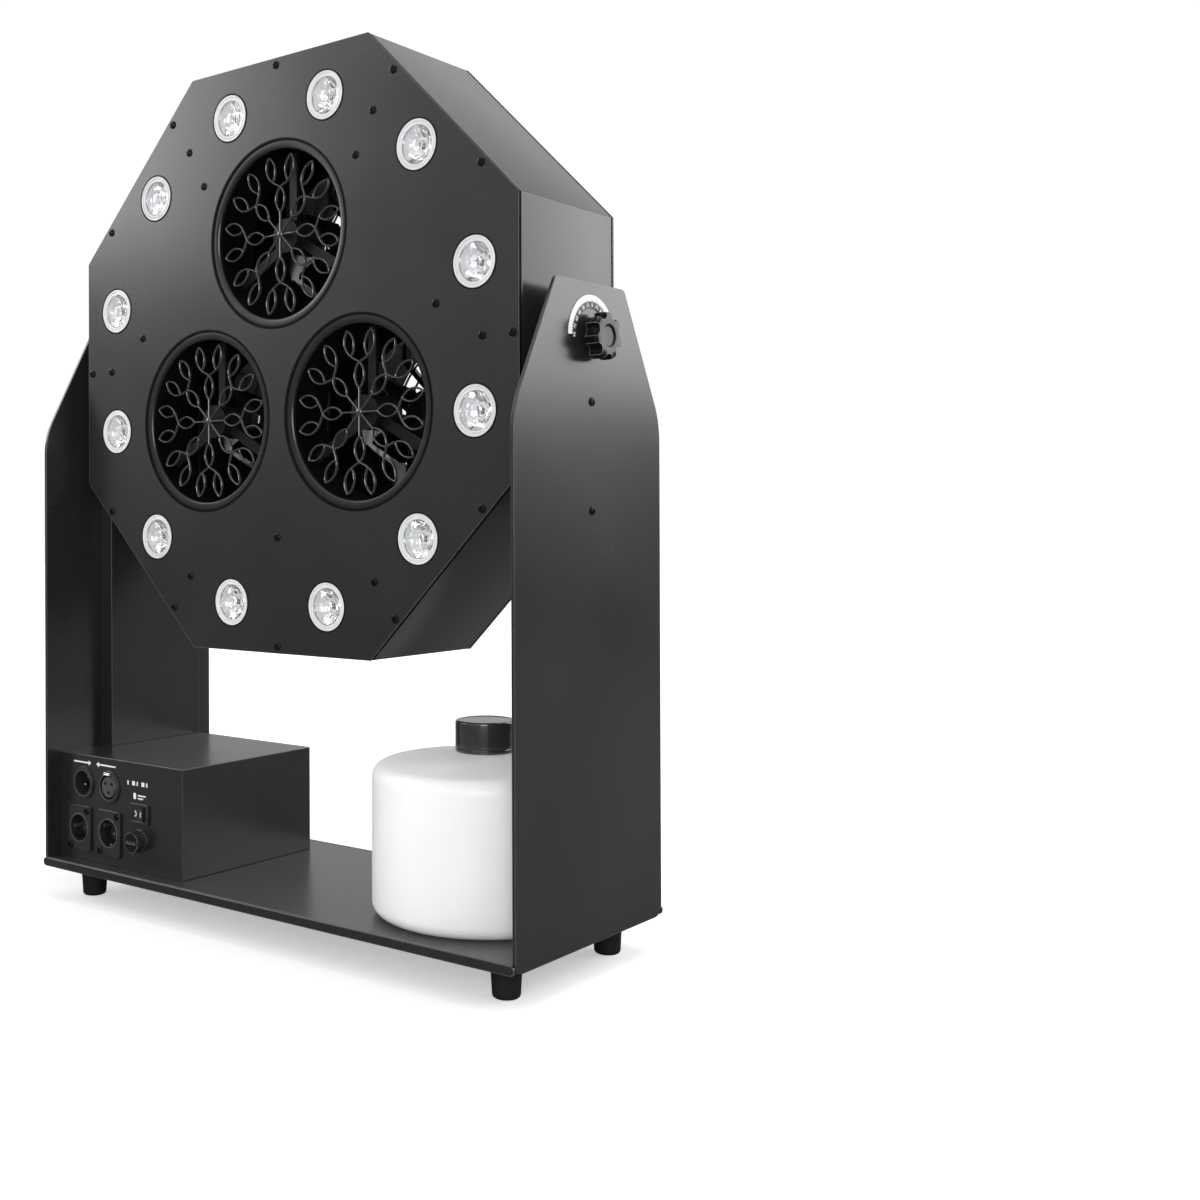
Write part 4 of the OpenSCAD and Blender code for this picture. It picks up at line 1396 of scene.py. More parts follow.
@dataclass(frozen=True)
class HeadCase:
    """The octagonal head: front panel, folded band, back panel, guards and screws."""

    lay: Layout
    sheet: float = 1.5 * MM
    front_gap: float = 0.2 * MM
    back_gap: float = 0.9 * MM
    fold_r: float = 2.4 * MM
    back_fold_r: float = 1.1 * MM
    # Share of the half width beyond which the panel's edge is painted black as seam shade.
    rim_from: float = 0.985
    edge: float = 0.4 * MM
    flange_w: float = 10.5 * MM
    lamp_in: float = 28.5 * MM
    lamp_hole_r: float = 17.5 * MM
    bezel_hole_r: float = 66 * MM
    fan_hole_r: float = 57.5 * MM
    screw_hole_r: float = 1.7 * MM
    rim_in: float = 5 * MM
    rim_share: float = 51 / 87
    fan_screw: float = 52.5 * MM
    guard_wire: float = 1.8 * MM
    guard_rings: int = 6
    guard_hook: float = 1.5 * MM

    @property
    def lamp_ring(self) -> float:
        """Radius of the ring of lamps."""
        return self.lay.half_head - self.lamp_in

    def lamp_points(self) -> list[Point]:
        """The middles of the twelve lamps."""
        return [polar(self.lamp_ring, 15 + 30 * k) for k in range(12)]

    def rim_points(self) -> list[Point]:
        """The screws along the rim.

        Returns:
            Their places from the tilt axis.
        """
        reach = self.lay.half_head - self.rim_in
        off = self.rim_share * self.lay.half_head * math.tan(HALF_FACET)
        points = [polar(reach, a) for a in (0, 90, 180, 270)]
        for a in DIAGONALS:
            mid, along = Vector(polar(reach, a)), Vector(polar(off, a + 90))
            points += [tuple(mid + along), tuple(mid - along)]
        return points

    def bracket_points(self) -> list[Point]:
        """The screws that hold what stands behind the front.

        Returns:
            Their places from the tilt axis.
        """
        ring = self.lamp_ring
        points = [polar(ring, a) for a in range(0, 360, 60)]
        points += [polar(ring - 31.5 * MM, a) for a in (60, 120)]
        points += [polar(ring - 35.5 * MM, a) for a in (9.2, 170.8)]
        return points + [polar(ring - 53.5 * MM, -90)]

    def fan_screw_points(self) -> list[Point]:
        """The screws that hold the three fans.

        Returns:
            Their places from the tilt axis.
        """
        return [
            (spot.x + a * self.fan_screw, spot.z - self.lay.tilt.z + b * self.fan_screw)
            for spot in self.lay.outlets.values()
            for a in (-1, 1)
            for b in (-1, 1)
        ]

    def octagon(self, flats: float) -> list[Point]:
        """Outline of the head round the tilt axis, with its corners just broken.

        Args:
            flats: Distance from the axis to the flats.

        Returns:
            The outline.
        """
        reach = flats / math.cos(HALF_FACET)
        corners = [(*polar(reach, 22.5 + 45 * k), 0.8 * MM) for k in range(8)]
        return [(x, z + self.lay.tilt.z) for x, z in rounded(corners, 3)]

    def drilled(
        self, y0: float, y1: float, holes: Sequence[tuple[Point, float, int]]
    ) -> bpy.types.Object:
        """An octagonal sheet with round holes and broken edges.

        Args:
            y0: Front of the sheet.
            y1: Back of the sheet.
            holes: Each hole's middle, radius and number of faces.

        Returns:
            The sheet.
        """
        obj = plate(self.octagon(self.lay.half_head), y0, y1, Across.Y)
        drills = [
            rod(self.lay.on_head(point, y0 - MM), self.lay.on_head(point, y1 + MM), radius, sides)
            for point, radius, sides in holes
        ]
        cut(obj, join(drills, "drill"))
        soften(obj, self.edge, 2, 42)
        return obj

    def outlet_points(self) -> list[Point]:
        """The middles of the outlets, from the tilt axis."""
        return [(spot.x, spot.z - self.lay.tilt.z) for spot in self.lay.outlets.values()]

    def build(self) -> None:
        """Build every piece of the case."""
        self.front_panel()
        self.back_panel()
        self.band()
        self.guards()
        self.screws()

    def front_panel(self) -> None:
        """Cut the front panel for the outlets, the lamps and the screws."""
        holes = [(p, self.bezel_hole_r, 128) for p in self.outlet_points()]
        holes += [(p, self.lamp_hole_r, 64) for p in self.lamp_points()]
        holes += [(p, self.screw_hole_r, 12) for p in self.rim_points() + self.bracket_points()]
        obj = self.drilled(self.lay.face_y, self.lay.face_y + self.sheet, holes)
        obj.name = "front_panel_sheet"
        paint(obj, POWDER)
        # Painted shade: the sheet's outer edge is painted black as the dark seam between the panel and
        # the band.
        rim, axis_z = self.rim_from * self.lay.half_head, self.lay.tilt.z
        paint_faces(obj, PAINTED_SHADE, lambda c, n: abs(n.y) < 0.5 and math.hypot(c.x, c.z - axis_z) > rim)
        dress(obj, POWDER, "head", ["front_panel"], keep=True)

    def back_panel(self) -> None:
        """Cut the back panel for the fans and the screws."""
        holes = [(p, self.fan_hole_r, 96) for p in self.outlet_points()]
        holes += [(p, self.screw_hole_r, 12) for p in self.rim_points() + self.fan_screw_points()]
        obj = self.drilled(self.lay.back_y - self.sheet, self.lay.back_y, holes)
        obj.name = "back_panel_sheet"
        dress(obj, POWDER, "head", ["back_panel"])

    def band(self) -> None:
        """Fold the band of the head with a flange at each end, as one octagonal turn."""
        front = self.lay.face_y + self.sheet + self.front_gap
        back = self.lay.back_y - self.sheet - self.back_gap
        outer = self.lay.half_head - 0.1 * MM
        inner = self.lay.half_head - self.flange_w
        corners = [
            (outer, front, self.fold_r), (outer, back, self.back_fold_r), (inner, back, 0),
            (inner, back - self.sheet, 0), (outer - self.sheet, back - self.sheet, 0),
            (outer - self.sheet, front + self.sheet, 0), (inner, front + self.sheet, 0),
            (inner, front, 0),
        ]
        stretch = 1 / math.cos(HALF_FACET)
        profile = [(r * stretch, y) for r, y in rounded(corners, 4)]
        obj = turned(profile, self.lay.on_head((0, 0)), Across.Y, 8, closed=True)
        turn = Matrix.Rotation(HALF_FACET, 4, "Y")
        hub = Matrix.Translation(self.lay.tilt)
        obj.data.transform(hub @ turn @ hub.inverted())
        with editing(obj, "EDGE"):
            pick_edges(obj, lambda a, b: (a - b).length > 30 * MM and abs((a - b).normalized().y) > 0.9)
            bpy.ops.mesh.bevel(offset=0.9 * MM, segments=3, affect="EDGES")
        obj.name = "head_band"
        paint(obj, BAND)
        # Painted shade: the band's forward-facing front fold is painted black as the dark seam behind
        # the front panel.
        paint_faces(obj, PAINTED_SHADE, lambda c, n: n.y < -0.3 and c.y < front + self.fold_r)
        dress(smooth(obj, 32), BAND, "head", ["head_shell"], keep=True)

    def guards(self) -> None:
        """Bend the ring guards over the fan inlets."""
        parts = []
        wire = self.guard_wire / 2
        y = self.lay.back_y + wire
        for point in self.outlet_points():
            centre = self.lay.on_head(point, y)
            for n in range(1, self.guard_rings + 1):
                bpy.ops.mesh.primitive_torus_add(
                    major_radius=self.fan_hole_r * n / self.guard_rings - wire,
                    minor_radius=wire, major_segments=24 + 10 * n, minor_segments=8,
                    location=centre, rotation=(math.pi / 2, 0, 0),
                )
                parts.append(smooth(settle(bpy.context.object), 60))
            for angle in DIAGONALS:
                x, z = polar(self.fan_hole_r + self.guard_hook, angle)
                parts.append(rod(centre, centre + Vector((x, 0, z)), wire * 0.98, 12))
        dress(smooth(join(parts, "fan_ring_guards"), 60), POWDER, "head", ["finger_guards"])

    def screws(self) -> None:
        """Drive the screws of both panels."""
        for word, y, points, turn in (
            ("face", self.lay.face_y, self.rim_points() + self.bracket_points(), 0),
            ("back", self.lay.back_y, self.rim_points() + self.fan_screw_points(), math.pi),
        ):
            places = spots([self.lay.on_head(p, y) for p in points], Euler((0, 0, turn)))
            screws = repeat(PanScrew().build(), places, f"{word}_pan_screws")
            dress(screws, SCREW, "head", [f"{word}_screws"])


@dataclass(frozen=True)
class LampRing:
    """The twelve lamps: stepped clear lenses with frosted rims over bright cups and chips."""

    lay: Layout
    points: Sequence[Point]
    lens_r: float = 17.0 * MM
    rim_bore: float = 12.9 * MM
    gasket_in: float = 0.35 * MM
    gasket_out: float = 0.7 * MM
    chip_off: float = 1.7
    chip_half: float = 1.35

    def build(self) -> None:
        """Make one lamp and copy it round the ring."""
        spots_here = spots([self.lay.on_head(p, self.lay.face_y) for p in self.points])
        # The rims and cups carry a painted glow through their finishes, and the thin black ring round
        # each lens is painted shade.
        parts = (
            (self.lens(), LENS, "lamp_clear_lenses", ["lamp_lenses"]),
            (self.rim(), FROST, "lamp_frosted_rims", []),
            (self.cup(), REFLECTOR, "lamp_bright_cups", []),
            (self.chips(), CHIP, "lamp_chips", []),
            (self.gasket(), PAINTED_SHADE, "lamp_gap_shade_rings", []),
        )
        for part, finish, name, nodes in parts:
            paint(part, finish)
            dress(repeat(part, spots_here, name), finish, "head", nodes)

    def lens(self) -> bpy.types.Object:
        """Turn the clear lens: stepped rings in front, a cone with a hollow behind.

        Returns:
            The lens at the origin.
        """
        front = [
            (0, -0.3), (2.0, -0.15), (3.8, 0.35), (4.2, 1.3), (6.6, 1.15), (7.0, 0.4),
            (9.4, 0.3), (9.8, 1.0), (12.3, 0.8), (12.75, 1.2), (12.8, 2.85), (15.5, 2.9),
        ]
        back = [
            (15.5, 3.4), (13.0, 6.2), (9.5, 11.0), (6.4, 14.4), (4.2, 14.4), (3.9, 9.5), (2.2, 8.0),
            (0, 7.4),
        ]
        profile = [(x * MM, y * MM) for x, y in front + back]
        return turned(profile, Vector(), Across.Y, 56)

    def rim(self) -> bpy.types.Object:
        """Turn the frosted rim that fills the hole of the panel.

        Returns:
            The rim at the origin.
        """
        inner, outer = self.rim_bore, self.lens_r
        profile = rounded(
            [(inner, -0.1 * MM, 0.4 * MM), (inner + 1.2 * MM, -0.1 * MM, 0.4 * MM),
             (inner + 1.4 * MM, 0.6 * MM, 0.2 * MM), (outer - 1.7 * MM, 0.9 * MM, 0.2 * MM),
             (outer - 1.4 * MM, -0.25 * MM, 0.3 * MM), (outer - 0.3 * MM, -0.25 * MM, 0.4 * MM),
             (outer, 2.8 * MM, 0.2 * MM), (inner, 2.8 * MM, 0.2 * MM)], 3)
        return turned(profile, Vector(), Across.Y, 56, closed=True)

    def cup(self) -> bpy.types.Object:
        """Turn the bright cup behind the lens.

        Returns:
            The cup at the origin.
        """
        inside = [(16.6, 3.0), (14.4, 6.2), (10.6, 11.6), (7.2, 14.7), (0, 14.7)]
        outside = [(0, 15.0), (7.6, 15.0), (16.9, 3.0)]
        return turned([(x * MM, y * MM) for x, y in inside + outside], Vector(), Across.Y, 48)

    def gasket(self) -> bpy.types.Object:
        """Turn a thin black ring round the rim, painted shade that stands in for the dark gap at the
        panel.

        Returns:
            The ring at the origin.
        """
        inner, outer = self.lens_r - self.gasket_in, self.lens_r + self.gasket_out
        profile = [(inner, -0.03 * MM), (inner, -0.3 * MM), (outer, -0.3 * MM), (outer, -0.03 * MM)]
        return turned(profile, Vector(), Across.Y, 56, closed=True)

    def chips(self) -> bpy.types.Object:
        """Set four light-emitting chips in a square with a gap between them.

        Returns:
            The chips at the origin.
        """
        parts = []
        half = self.chip_half
        for x in (-self.chip_off, self.chip_off):
            for z in (-self.chip_off, self.chip_off):
                low = Vector((x - half, 13.4, z - half))
                chip = box(low * MM, Vector((x + half, 14.5, z + half)) * MM)
                soften(chip, 0.15 * MM)
                parts.append(chip)
        return join(parts, "chips")


@dataclass(frozen=True)
class Outlet:
    """One outlet of the head: bezel, wand wheel and fan."""

    lay: Layout
    name: str
    hole_r: float = 66 * MM
    bore_r: float = 60 * MM
    flange_r: float = 72 * MM
    hole_gap: float = 0.5 * MM
    gasket_out: float = 1.1 * MM
    barrel_l: float = 34 * MM
    barrel_t: float = 2 * MM
    sheet: float = 1.5 * MM
    spokes: int = 8
    wire_r: float = 0.78 * MM
    wire_deep: float = 1.55
    leaf_w: float = 0.148
    blades: int = 7
    blade_pitch: float = 38
    blade_chord: float = 1.3
    blade_bend: float = 42
    blade_twist: float = -16
    blade_t: float = 1.5 * MM
    hub_r: float = 21 * MM
    hub_round: float = 4 * MM
    hub_wall: float = 1.5 * MM
    blade_root: float = 2 * MM

    @property
    def centre(self) -> Vector:
        """Middle of the outlet."""
        return self.lay.outlets[self.name]

    def build(self) -> None:
        """Build the bezel, the wand wheel and the fan."""
        self.bezel()
        self.wand()
        self.fan()

    def bezel(self) -> None:
        """Turn the bezel: a sloped ring, the barrel behind it in painted shade black, and a thin black
        ring round it as painted shade for the dark gap at the panel.
        """
        front = self.lay.face_y + self.sheet + 0.05 * MM
        r, wide = self.bore_r, self.hole_r - self.hole_gap
        ring = rounded(
            [
                (r, front + 0.2 * MM, 0.4 * MM), (r + 0.9 * MM, front - 0.6 * MM, 0.4 * MM),
                (wide, front - 1.0 * MM, 0.4 * MM), (wide, front + 0.4 * MM, 0.1 * MM),
                (self.flange_r, front + 0.4 * MM, 0.2 * MM), (self.flange_r, front + 2 * MM, 0.4 * MM),
                (r, front + 2 * MM, 0),
            ], 3)
        start, end = front + 1.9 * MM, self.lay.face_y + self.sheet + self.barrel_l
        barrel = [(r, start), (r + self.barrel_t, start), (r + self.barrel_t, end), (r, end)]
        # Painted shade: a thin black ring round the bezel stands in for the dark gap at the panel, and
        # the barrel is painted shade black.
        flat, shade_reach = self.lay.face_y - 0.03 * MM, self.hole_r + self.gasket_out
        gasket = [(wide, flat), (wide, flat - 0.25 * MM), (shade_reach, flat - 0.25 * MM), (shade_reach, flat)]
        parts = [
            paint(turned(profile, self.centre, Across.Y, 128, closed=True), finish)
            for profile, finish in ((ring, BEZEL), (barrel, PAINTED_SHADE), (gasket, PAINTED_SHADE))
        ]
        dress(join(parts, f"{self.name}_bezel_ring"), BEZEL, "head",
              [f"{self.name}_bezel"], keep=True)

    def leaf(self, start: float, length: float, turn: float, wheel: float) -> list[Vector]:
        """Work out one pointed loop of wire that runs outwards.

        Args:
            start: Distance of its inner point from the axis.
            length: Its length.
            turn: Its angle, in degrees.
            wheel: The wheel's radius, which its width follows.

        Returns:
            The points of the loop.
        """
        half = self.leaf_w * wheel / 2
        steps = 11
        shape = [(start + length * k / steps, half * max(0.0, math.sin(math.pi * k / steps)) ** 0.75)
                 for k in range(steps + 1)]
        shape += [(x, -y) for x, y in reversed(shape[1:-1])]
        spin = Matrix.Rotation(math.radians(turn), 2)
        return [Vector((p.x, 0, p.y)) for p in (spin @ Vector(point) for point in shape)]

    def wand(self) -> None:
        """Bend the wand wheel from wire: spokes, inner loops, and forks to the outer loops."""
        low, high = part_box(f"{self.name}_wand")
        fork = 90 / self.spokes
        wheel = (high.x - low.x) / 2 / math.cos(math.radians(fork))
        bpy.ops.curve.primitive_bezier_curve_add()
        obj = bpy.context.object
        curve = obj.data
        curve.splines.clear()
        curve.dimensions = "3D"
        curve.bevel_depth = self.wire_r
        curve.bevel_resolution = 2
        curve.use_fill_caps = True
        inner, inner_l, outer = 0.28 * wheel, 0.31 * wheel, 0.67 * wheel
        runs: list[tuple[list[Vector], bool]] = []
        for k in range(self.spokes):
            turn = 360 / self.spokes * k
            runs.append(([self.out(0, turn), self.out(inner, turn)], False))
            runs.append((self.leaf(inner, inner_l, turn, wheel), True))
            for side in (-1, 1):
                away = turn + side * fork
                runs.append(([
                    self.out(inner + inner_l, turn),
                    self.out(outer - 0.02 * wheel, turn + side * 0.86 * fork),
                    self.out(outer, away),
                ], False))
                runs.append((self.leaf(outer, wheel - outer - self.wire_r, away, wheel), True))
        for points, closed in runs:
            spline = curve.splines.new("POLY")
            spline.points.add(len(points) - 1)
            for slot, point in zip(spline.points, points):
                slot.co = (*point, 1)
            spline.use_cyclic_u = closed
        take(obj)
        bpy.ops.object.convert(target="MESH")
        wires = settle(bpy.context.object)
        tidy_shell(wires)
        profile = [(0, -1.4), (1.6, -1.3), (2.6, -0.7), (2.8, 1.3), (1.55, 1.3), (1.55, 0), (0, 0)]
        boss = turned([(x * MM, y * MM) for x, y in profile], Vector(), Across.Y, 24)
        wheel_obj = join([wires, boss], f"{self.name}_wand_wheel")
        deepen = Matrix.Diagonal((1, self.wire_deep, 1, 1))
        place = Matrix.Translation((self.centre.x, (low.y + high.y) / 2, self.centre.z))
        wheel_obj.data.transform(place @ deepen)
        dress(smooth(wheel_obj, 60), WAND, f"{self.name}_wand", [f"{self.name}_wand"])

    def out(self, radius: float, degrees: float) -> Vector:
        """A point on the wheel at a distance and an angle."""
        x, z = polar(radius, degrees)
        return Vector((x, 0, z))

    def fan(self) -> None:
        """Shape one cambered, twisted blade, copy it round a domed hub, and join them."""
        low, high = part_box(f"{self.name}_fan")
        tip = (high.x - low.x) / 2
        depth = high.y - low.y
        mid_y = (low.y + high.y) / 2
        span = tip - self.hub_r + self.blade_root
        bpy.ops.mesh.primitive_grid_add(x_subdivisions=9, y_subdivisions=9, size=1)
        blade = bpy.context.object
        blade.scale = (span, depth * self.blade_chord, 1)
        blade = settle(blade)
        with editing(blade, "VERT"):
            mesh = bmesh.from_edit_mesh(blade.data)
            for vertex in mesh.verts:
                vertex.select_set(vertex.co.x > span * 0.49)
            bmesh.update_edit_mesh(blade.data)
            bpy.ops.transform.resize(value=(1, 0.86, 1))
        for method, angle in (("BEND", self.blade_bend), ("TWIST", self.blade_twist)):
            apply_modifier(blade, "SIMPLE_DEFORM", deform_method=method, deform_axis="X",
                           angle=math.radians(angle))
        apply_modifier(blade, "SOLIDIFY", thickness=self.blade_t, offset=0)
        soften(blade, 0.4 * MM, 2, 50)
        pitch = Matrix.Rotation(math.radians(self.blade_pitch), 4, "X")
        root = self.hub_r - self.blade_root
        blade.data.transform(Matrix.Translation((root + span / 2, 0, 0)) @ pitch)
        ring = [Matrix.Rotation(TURN * k / self.blades, 4, "Y") for k in range(self.blades)]
        blades = repeat(blade, ring, "blades")
        squeeze = min(1.0, depth / max(1e-6, 2 * max(abs(v.co.y) for v in blades.data.vertices)))
        reach = max(math.hypot(v.co.x, v.co.z) for v in blades.data.vertices)
        round_fit = min(1.0, tip / reach)
        blades.data.transform(Matrix.Diagonal((round_fit, squeeze, round_fit, 1)))
        half, curl, skirt = depth / 2, self.hub_round, self.hub_r - self.hub_wall
        hub = turned(
            [(0, -half), (6 * MM, -half + 0.1 * MM)]
            + [(self.hub_r - curl + p[0], -half + curl + p[1]) for p in
               (polar(curl, a) for a in range(-90, 1, 15))]
            + [(self.hub_r, half), (skirt, half), (skirt, 0), (0, 0)],
            Vector(), Across.Y, 48)
        fan = join([blades, hub], f"{self.name}_fan_rotor")
        fan.data.transform(Matrix.Translation((self.centre.x, mid_y, self.centre.z)))
        dress(fan, FAN, f"{self.name}_fan", [f"{self.name}_fan"])


# ---- Control box ----


@dataclass(frozen=True)
class ControlBox:
    """The control box with its connectors, switch, fuse holder and printed signs."""

    lay: Layout
    sheet: float = 1.2 * MM
    fold: float = 0.8 * MM
    data_r: float = 9.5 * MM
    data_wall: float = 1.1 * MM
    data_deep: float = 15 * MM
    core_r: float = 7.9 * MM
    pin_ring: float = 4.4 * MM
    well_r: float = 10.5 * MM
    well_deep: float = 18 * MM
    mains_hole_r: float = 12 * MM
    mains_core_r: float = 6.5 * MM
    mains_ring: float = 3.6 * MM
    switch_rim: float = 2 * MM
    fuse_hole_r: float = 6.3 * MM
    fuse_neck_r: float = 6.2 * MM
    fuse_r: float = 4.9 * MM
    fuse_bore: float = 2.7 * MM
    fuse_ribs: int = 18
    sign_t: float = 0.06 * MM

    def build(self) -> None:
        """Build the box and all on its front."""
        self.case()
        self.data_inlet()
        self.data_outlet()
        self.latch()
        for node, keys in (("mains_inlet", (0, 180)), ("mains_outlet", (90, 210, 330))):
            self.mains(node, keys)
        self.pins()
        self.switch()
        self.fuse()
        self.signs()

    @property
    def front(self) -> float:
        """Front face of the box."""
        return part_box("control_box")[0].y

    def spot(self, node: str) -> Vector:
        """Middle of a connector on the front face."""
        centre = middle(node)
        return Vector((centre.x, self.front, centre.z))

    def post(
        self, node: str, start: float, end: float, radius: float, sides: int, off: Point = (0, 0)
    ) -> bpy.types.Object:
        """Make a round rod that runs back through a connector.

        Args:
            node: The connector's node.
            start: Where it begins, behind the front face.
            end: Where it ends, behind the front face.
            radius: Its radius.
            sides: Faces round it.
            off: How far it stands from the connector's middle.

        Returns:
            The rod.
        """
        spot = self.spot(node) + Vector((off[0], 0, off[1]))
        return rod(spot + Vector((0, start, 0)), spot + Vector((0, end, 0)), radius, sides)

    def case(self) -> None:
        """Fold the box, open below, and cut its front for the connectors."""
        low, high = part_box("control_box")
        obj = box(low, high)
        with editing(obj):
            pick_faces(obj, lambda c, n: n.z < -0.5)
            bpy.ops.mesh.delete(type="FACE")
        apply_modifier(obj, "SOLIDIFY", thickness=self.sheet, offset=-1, use_even_offset=True)
        reach = Vector((0, 10 * MM, 0))
        tools = []
        data_hole_r = self.data_r + self.data_wall
        for node, radius in (
            ("data_inlet", data_hole_r), ("data_outlet", data_hole_r),
            ("mains_inlet", self.mains_hole_r), ("mains_outlet", self.mains_hole_r),
            ("fuse_holder", self.fuse_hole_r),
        ):
            spot = self.spot(node)
            tools.append(rod(spot - reach, spot + reach, radius, 40))
        spot = self.spot("switch_frame")
        low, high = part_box("switch_frame")
        half = (high - low) / 2 - Vector((self.switch_rim, 0, self.switch_rim))
        half.y = 10 * MM
        tools.append(box(spot - half, spot + half))
        cut(obj, join(tools, "punch"))
        soften(obj, self.fold, 3)
        obj.name = "control_box_case"
        dress(obj, POWDER, "frame", ["control_box"])

    def socket_shell(self, node: str) -> list[bpy.types.Object]:
        """Turn the shell of a data connector with its raised, polished rim.

        Args:
            node: The connector's node.

        Returns:
            The shell and its rim, painted.
        """
        spot = self.spot(node)
        low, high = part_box(node)
        outer = (high.x - low.x) / 2
        face, end = self.front - low.y, high.y - self.front
        r, wall = self.data_r, self.data_r + self.data_wall
        profile = rounded(
            [(r, -face, 0.3 * MM), (outer, -face, 0.5 * MM), (outer, 0, 0), (wall, 0, 0),
             (wall, end, 0), (r, end, 0)], 3)
        shell = turned(profile, spot, Across.Y, 48, closed=True)
        rim = turned(rounded(
            [(r + 0.1 * MM, -face - 0.25 * MM, 0.2 * MM), (r + 0.9 * MM, -face - 0.25 * MM, 0.2 * MM),
             (r + 0.9 * MM, -face + 0.3 * MM, 0), (r + 0.1 * MM, -face + 0.3 * MM, 0)], 2),
            spot, Across.Y, 48, closed=True)
        return [paint(shell, SHELL), paint(rim, RIM)]

    def data_inlet(self) -> None:
        """Build the cup of the data inlet with its floor and key rib."""
        spot = self.spot("data_inlet")
        parts = self.socket_shell("data_inlet")
        floor = self.post(
            "data_inlet", self.data_deep, self.data_deep + 5 * MM, self.data_r + 0.2 * MM, 48)
        soften(floor, 0.3 * MM)
        key = box(spot + Vector((-1.2, 1, 7.6)) * MM, spot + Vector((1.2, 15, 9.8)) * MM)
        soften(key, 0.25 * MM)
        parts += [paint(floor, SHELL), paint(key, SHELL)]
        dress(join(parts, "data_inlet_socket"), SHELL, "frame", ["data_inlet"], keep=True)

    def data_outlet(self) -> None:
        """Build the data outlet: a shell round a core with three holes."""
        node = "data_outlet"
        low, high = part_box(node)
        start, end = low.y - self.front, high.y - self.front
        parts = self.socket_shell(node)
        core = self.post(node, start + 0.4 * MM, end, self.core_r, 48)
        drills = []
        for angle in CONTACT_ANGLES:
            x, z = polar(self.pin_ring, angle)
            drills.append(self.post(node, start - MM, start + 11 * MM, 1.5 * MM, 20, (-x, -z)))
        cut(core, join(drills, "drill"))
        soften(core, 0.35 * MM)
        floor = self.post(node, self.data_deep, self.data_deep + 4 * MM, self.data_r + 0.2 * MM, 40)
        parts += [paint(core, RIM), paint(floor, SHELL)]
        dress(join(parts, "data_outlet_socket"), SHELL, "frame", ["data_outlet"], keep=True)

    def latch(self) -> None:
        """Round the latch tab and press a thumb groove across it."""
        low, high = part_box("outlet_latch")
        tab = box(low, high)
        soften(tab, 0.45 * MM, 3)
        y, z = low.y - 0.25 * MM, (low.z + high.z) / 2
        groove = rod(Vector((low.x - MM, y, z)), Vector((high.x + MM, y, z)), 0.6 * MM, 16)
        cut(tab, groove)
        tab.name = "outlet_latch_tab"
        dress(tab, LATCH, "outlet_latch", ["outlet_latch"])

    def mains(self, node: str, keys: Sequence[int]) -> None:
        """Mould a locking mains connector: a square flange, a keyed well and a core.

        Args:
            node: The connector's node.
            keys: Angles of the keys round the well, in degrees.
        """
        low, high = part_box(node)
        spot = self.spot(node)
        axis = Vector((spot.x, 0, spot.z))
        flange = plate(rounded_rectangle(high.x - low.x, high.z - low.z, 2.5 * MM), low.y,
                       self.front, Across.Y, axis)
        cut(flange, self.post(node, low.y - self.front - MM, MM, self.well_r, 56))
        soften(flange, 0.45 * MM, 3, 42)
        r = self.well_r
        barrel = turned(
            [(r, low.y + 0.4 * MM), (r + 1.5 * MM, self.front - 0.2 * MM), (r + 1.5 * MM, high.y),
             (0, high.y), (0, self.front + self.well_deep), (r, self.front + self.well_deep)],
            axis, Across.Y, 56, closed=True)
        collar = turned(rounded(
            [(r - 0.3 * MM, low.y - 0.5 * MM, 0.25 * MM), (r + 0.9 * MM, low.y - 0.5 * MM, 0.25 * MM),
             (r + 0.9 * MM, low.y + 0.3 * MM, 0), (r - 0.3 * MM, low.y + 0.3 * MM, 0)], 2),
            axis, Across.Y, 56, closed=True)
        core = self.post(node, 5.5 * MM, self.well_deep, self.mains_core_r, 40)
        drills = [
            self.post(node, 4 * MM, 12 * MM, 1.3 * MM, 16, polar(self.mains_ring, angle))
            for angle in CONTACT_ANGLES
        ]
        cut(core, join(drills, "drill"))
        soften(core, 0.4 * MM)
        parts = [paint(p, SHELL) for p in (flange, barrel, core)] + [paint(collar, RIM)]
        for angle in keys:
            key = box(Vector((r - 2.0 * MM, 0.4 * MM, -1.5 * MM)),
                      Vector((r + 0.3 * MM, self.well_deep, 1.5 * MM)))
            soften(key, 0.3 * MM)
            key.data.transform(Matrix.Translation(spot) @ Matrix.Rotation(math.radians(angle), 4, "Y"))
            parts.append(paint(key, RIM))
        dress(join(parts, f"{node}_socket"), SHELL, "frame", [node], keep=True)

    def pins(self) -> None:
        """Turn the contact pins with rounded tips."""
        low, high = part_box("contact_pins")
        parts = []
        for node, ring, radius, start in (
            ("data_inlet", self.pin_ring, 1.2 * MM, low.y),
            ("mains_inlet", self.mains_ring, 1.1 * MM, self.front + 6 * MM),
            ("mains_outlet", self.mains_ring, 1.1 * MM, self.front + 6 * MM),
        ):
            spot, long = self.spot(node), high.y - start
            tip = [(x * radius, y * radius) for x, y in ((0, 0), (0.5, 0.08), (0.85, 0.45), (1, 1))]
            for angle in CONTACT_ANGLES:
                x, z = polar(ring, angle)
                at = Vector((spot.x + x, start, spot.z + z))
                parts.append(turned([*tip, (radius, long), (0, long)], at, Across.Y, 20))
        dress(join(parts, "plated_contact_pins"), BRASS, "frame", ["contact_pins"])

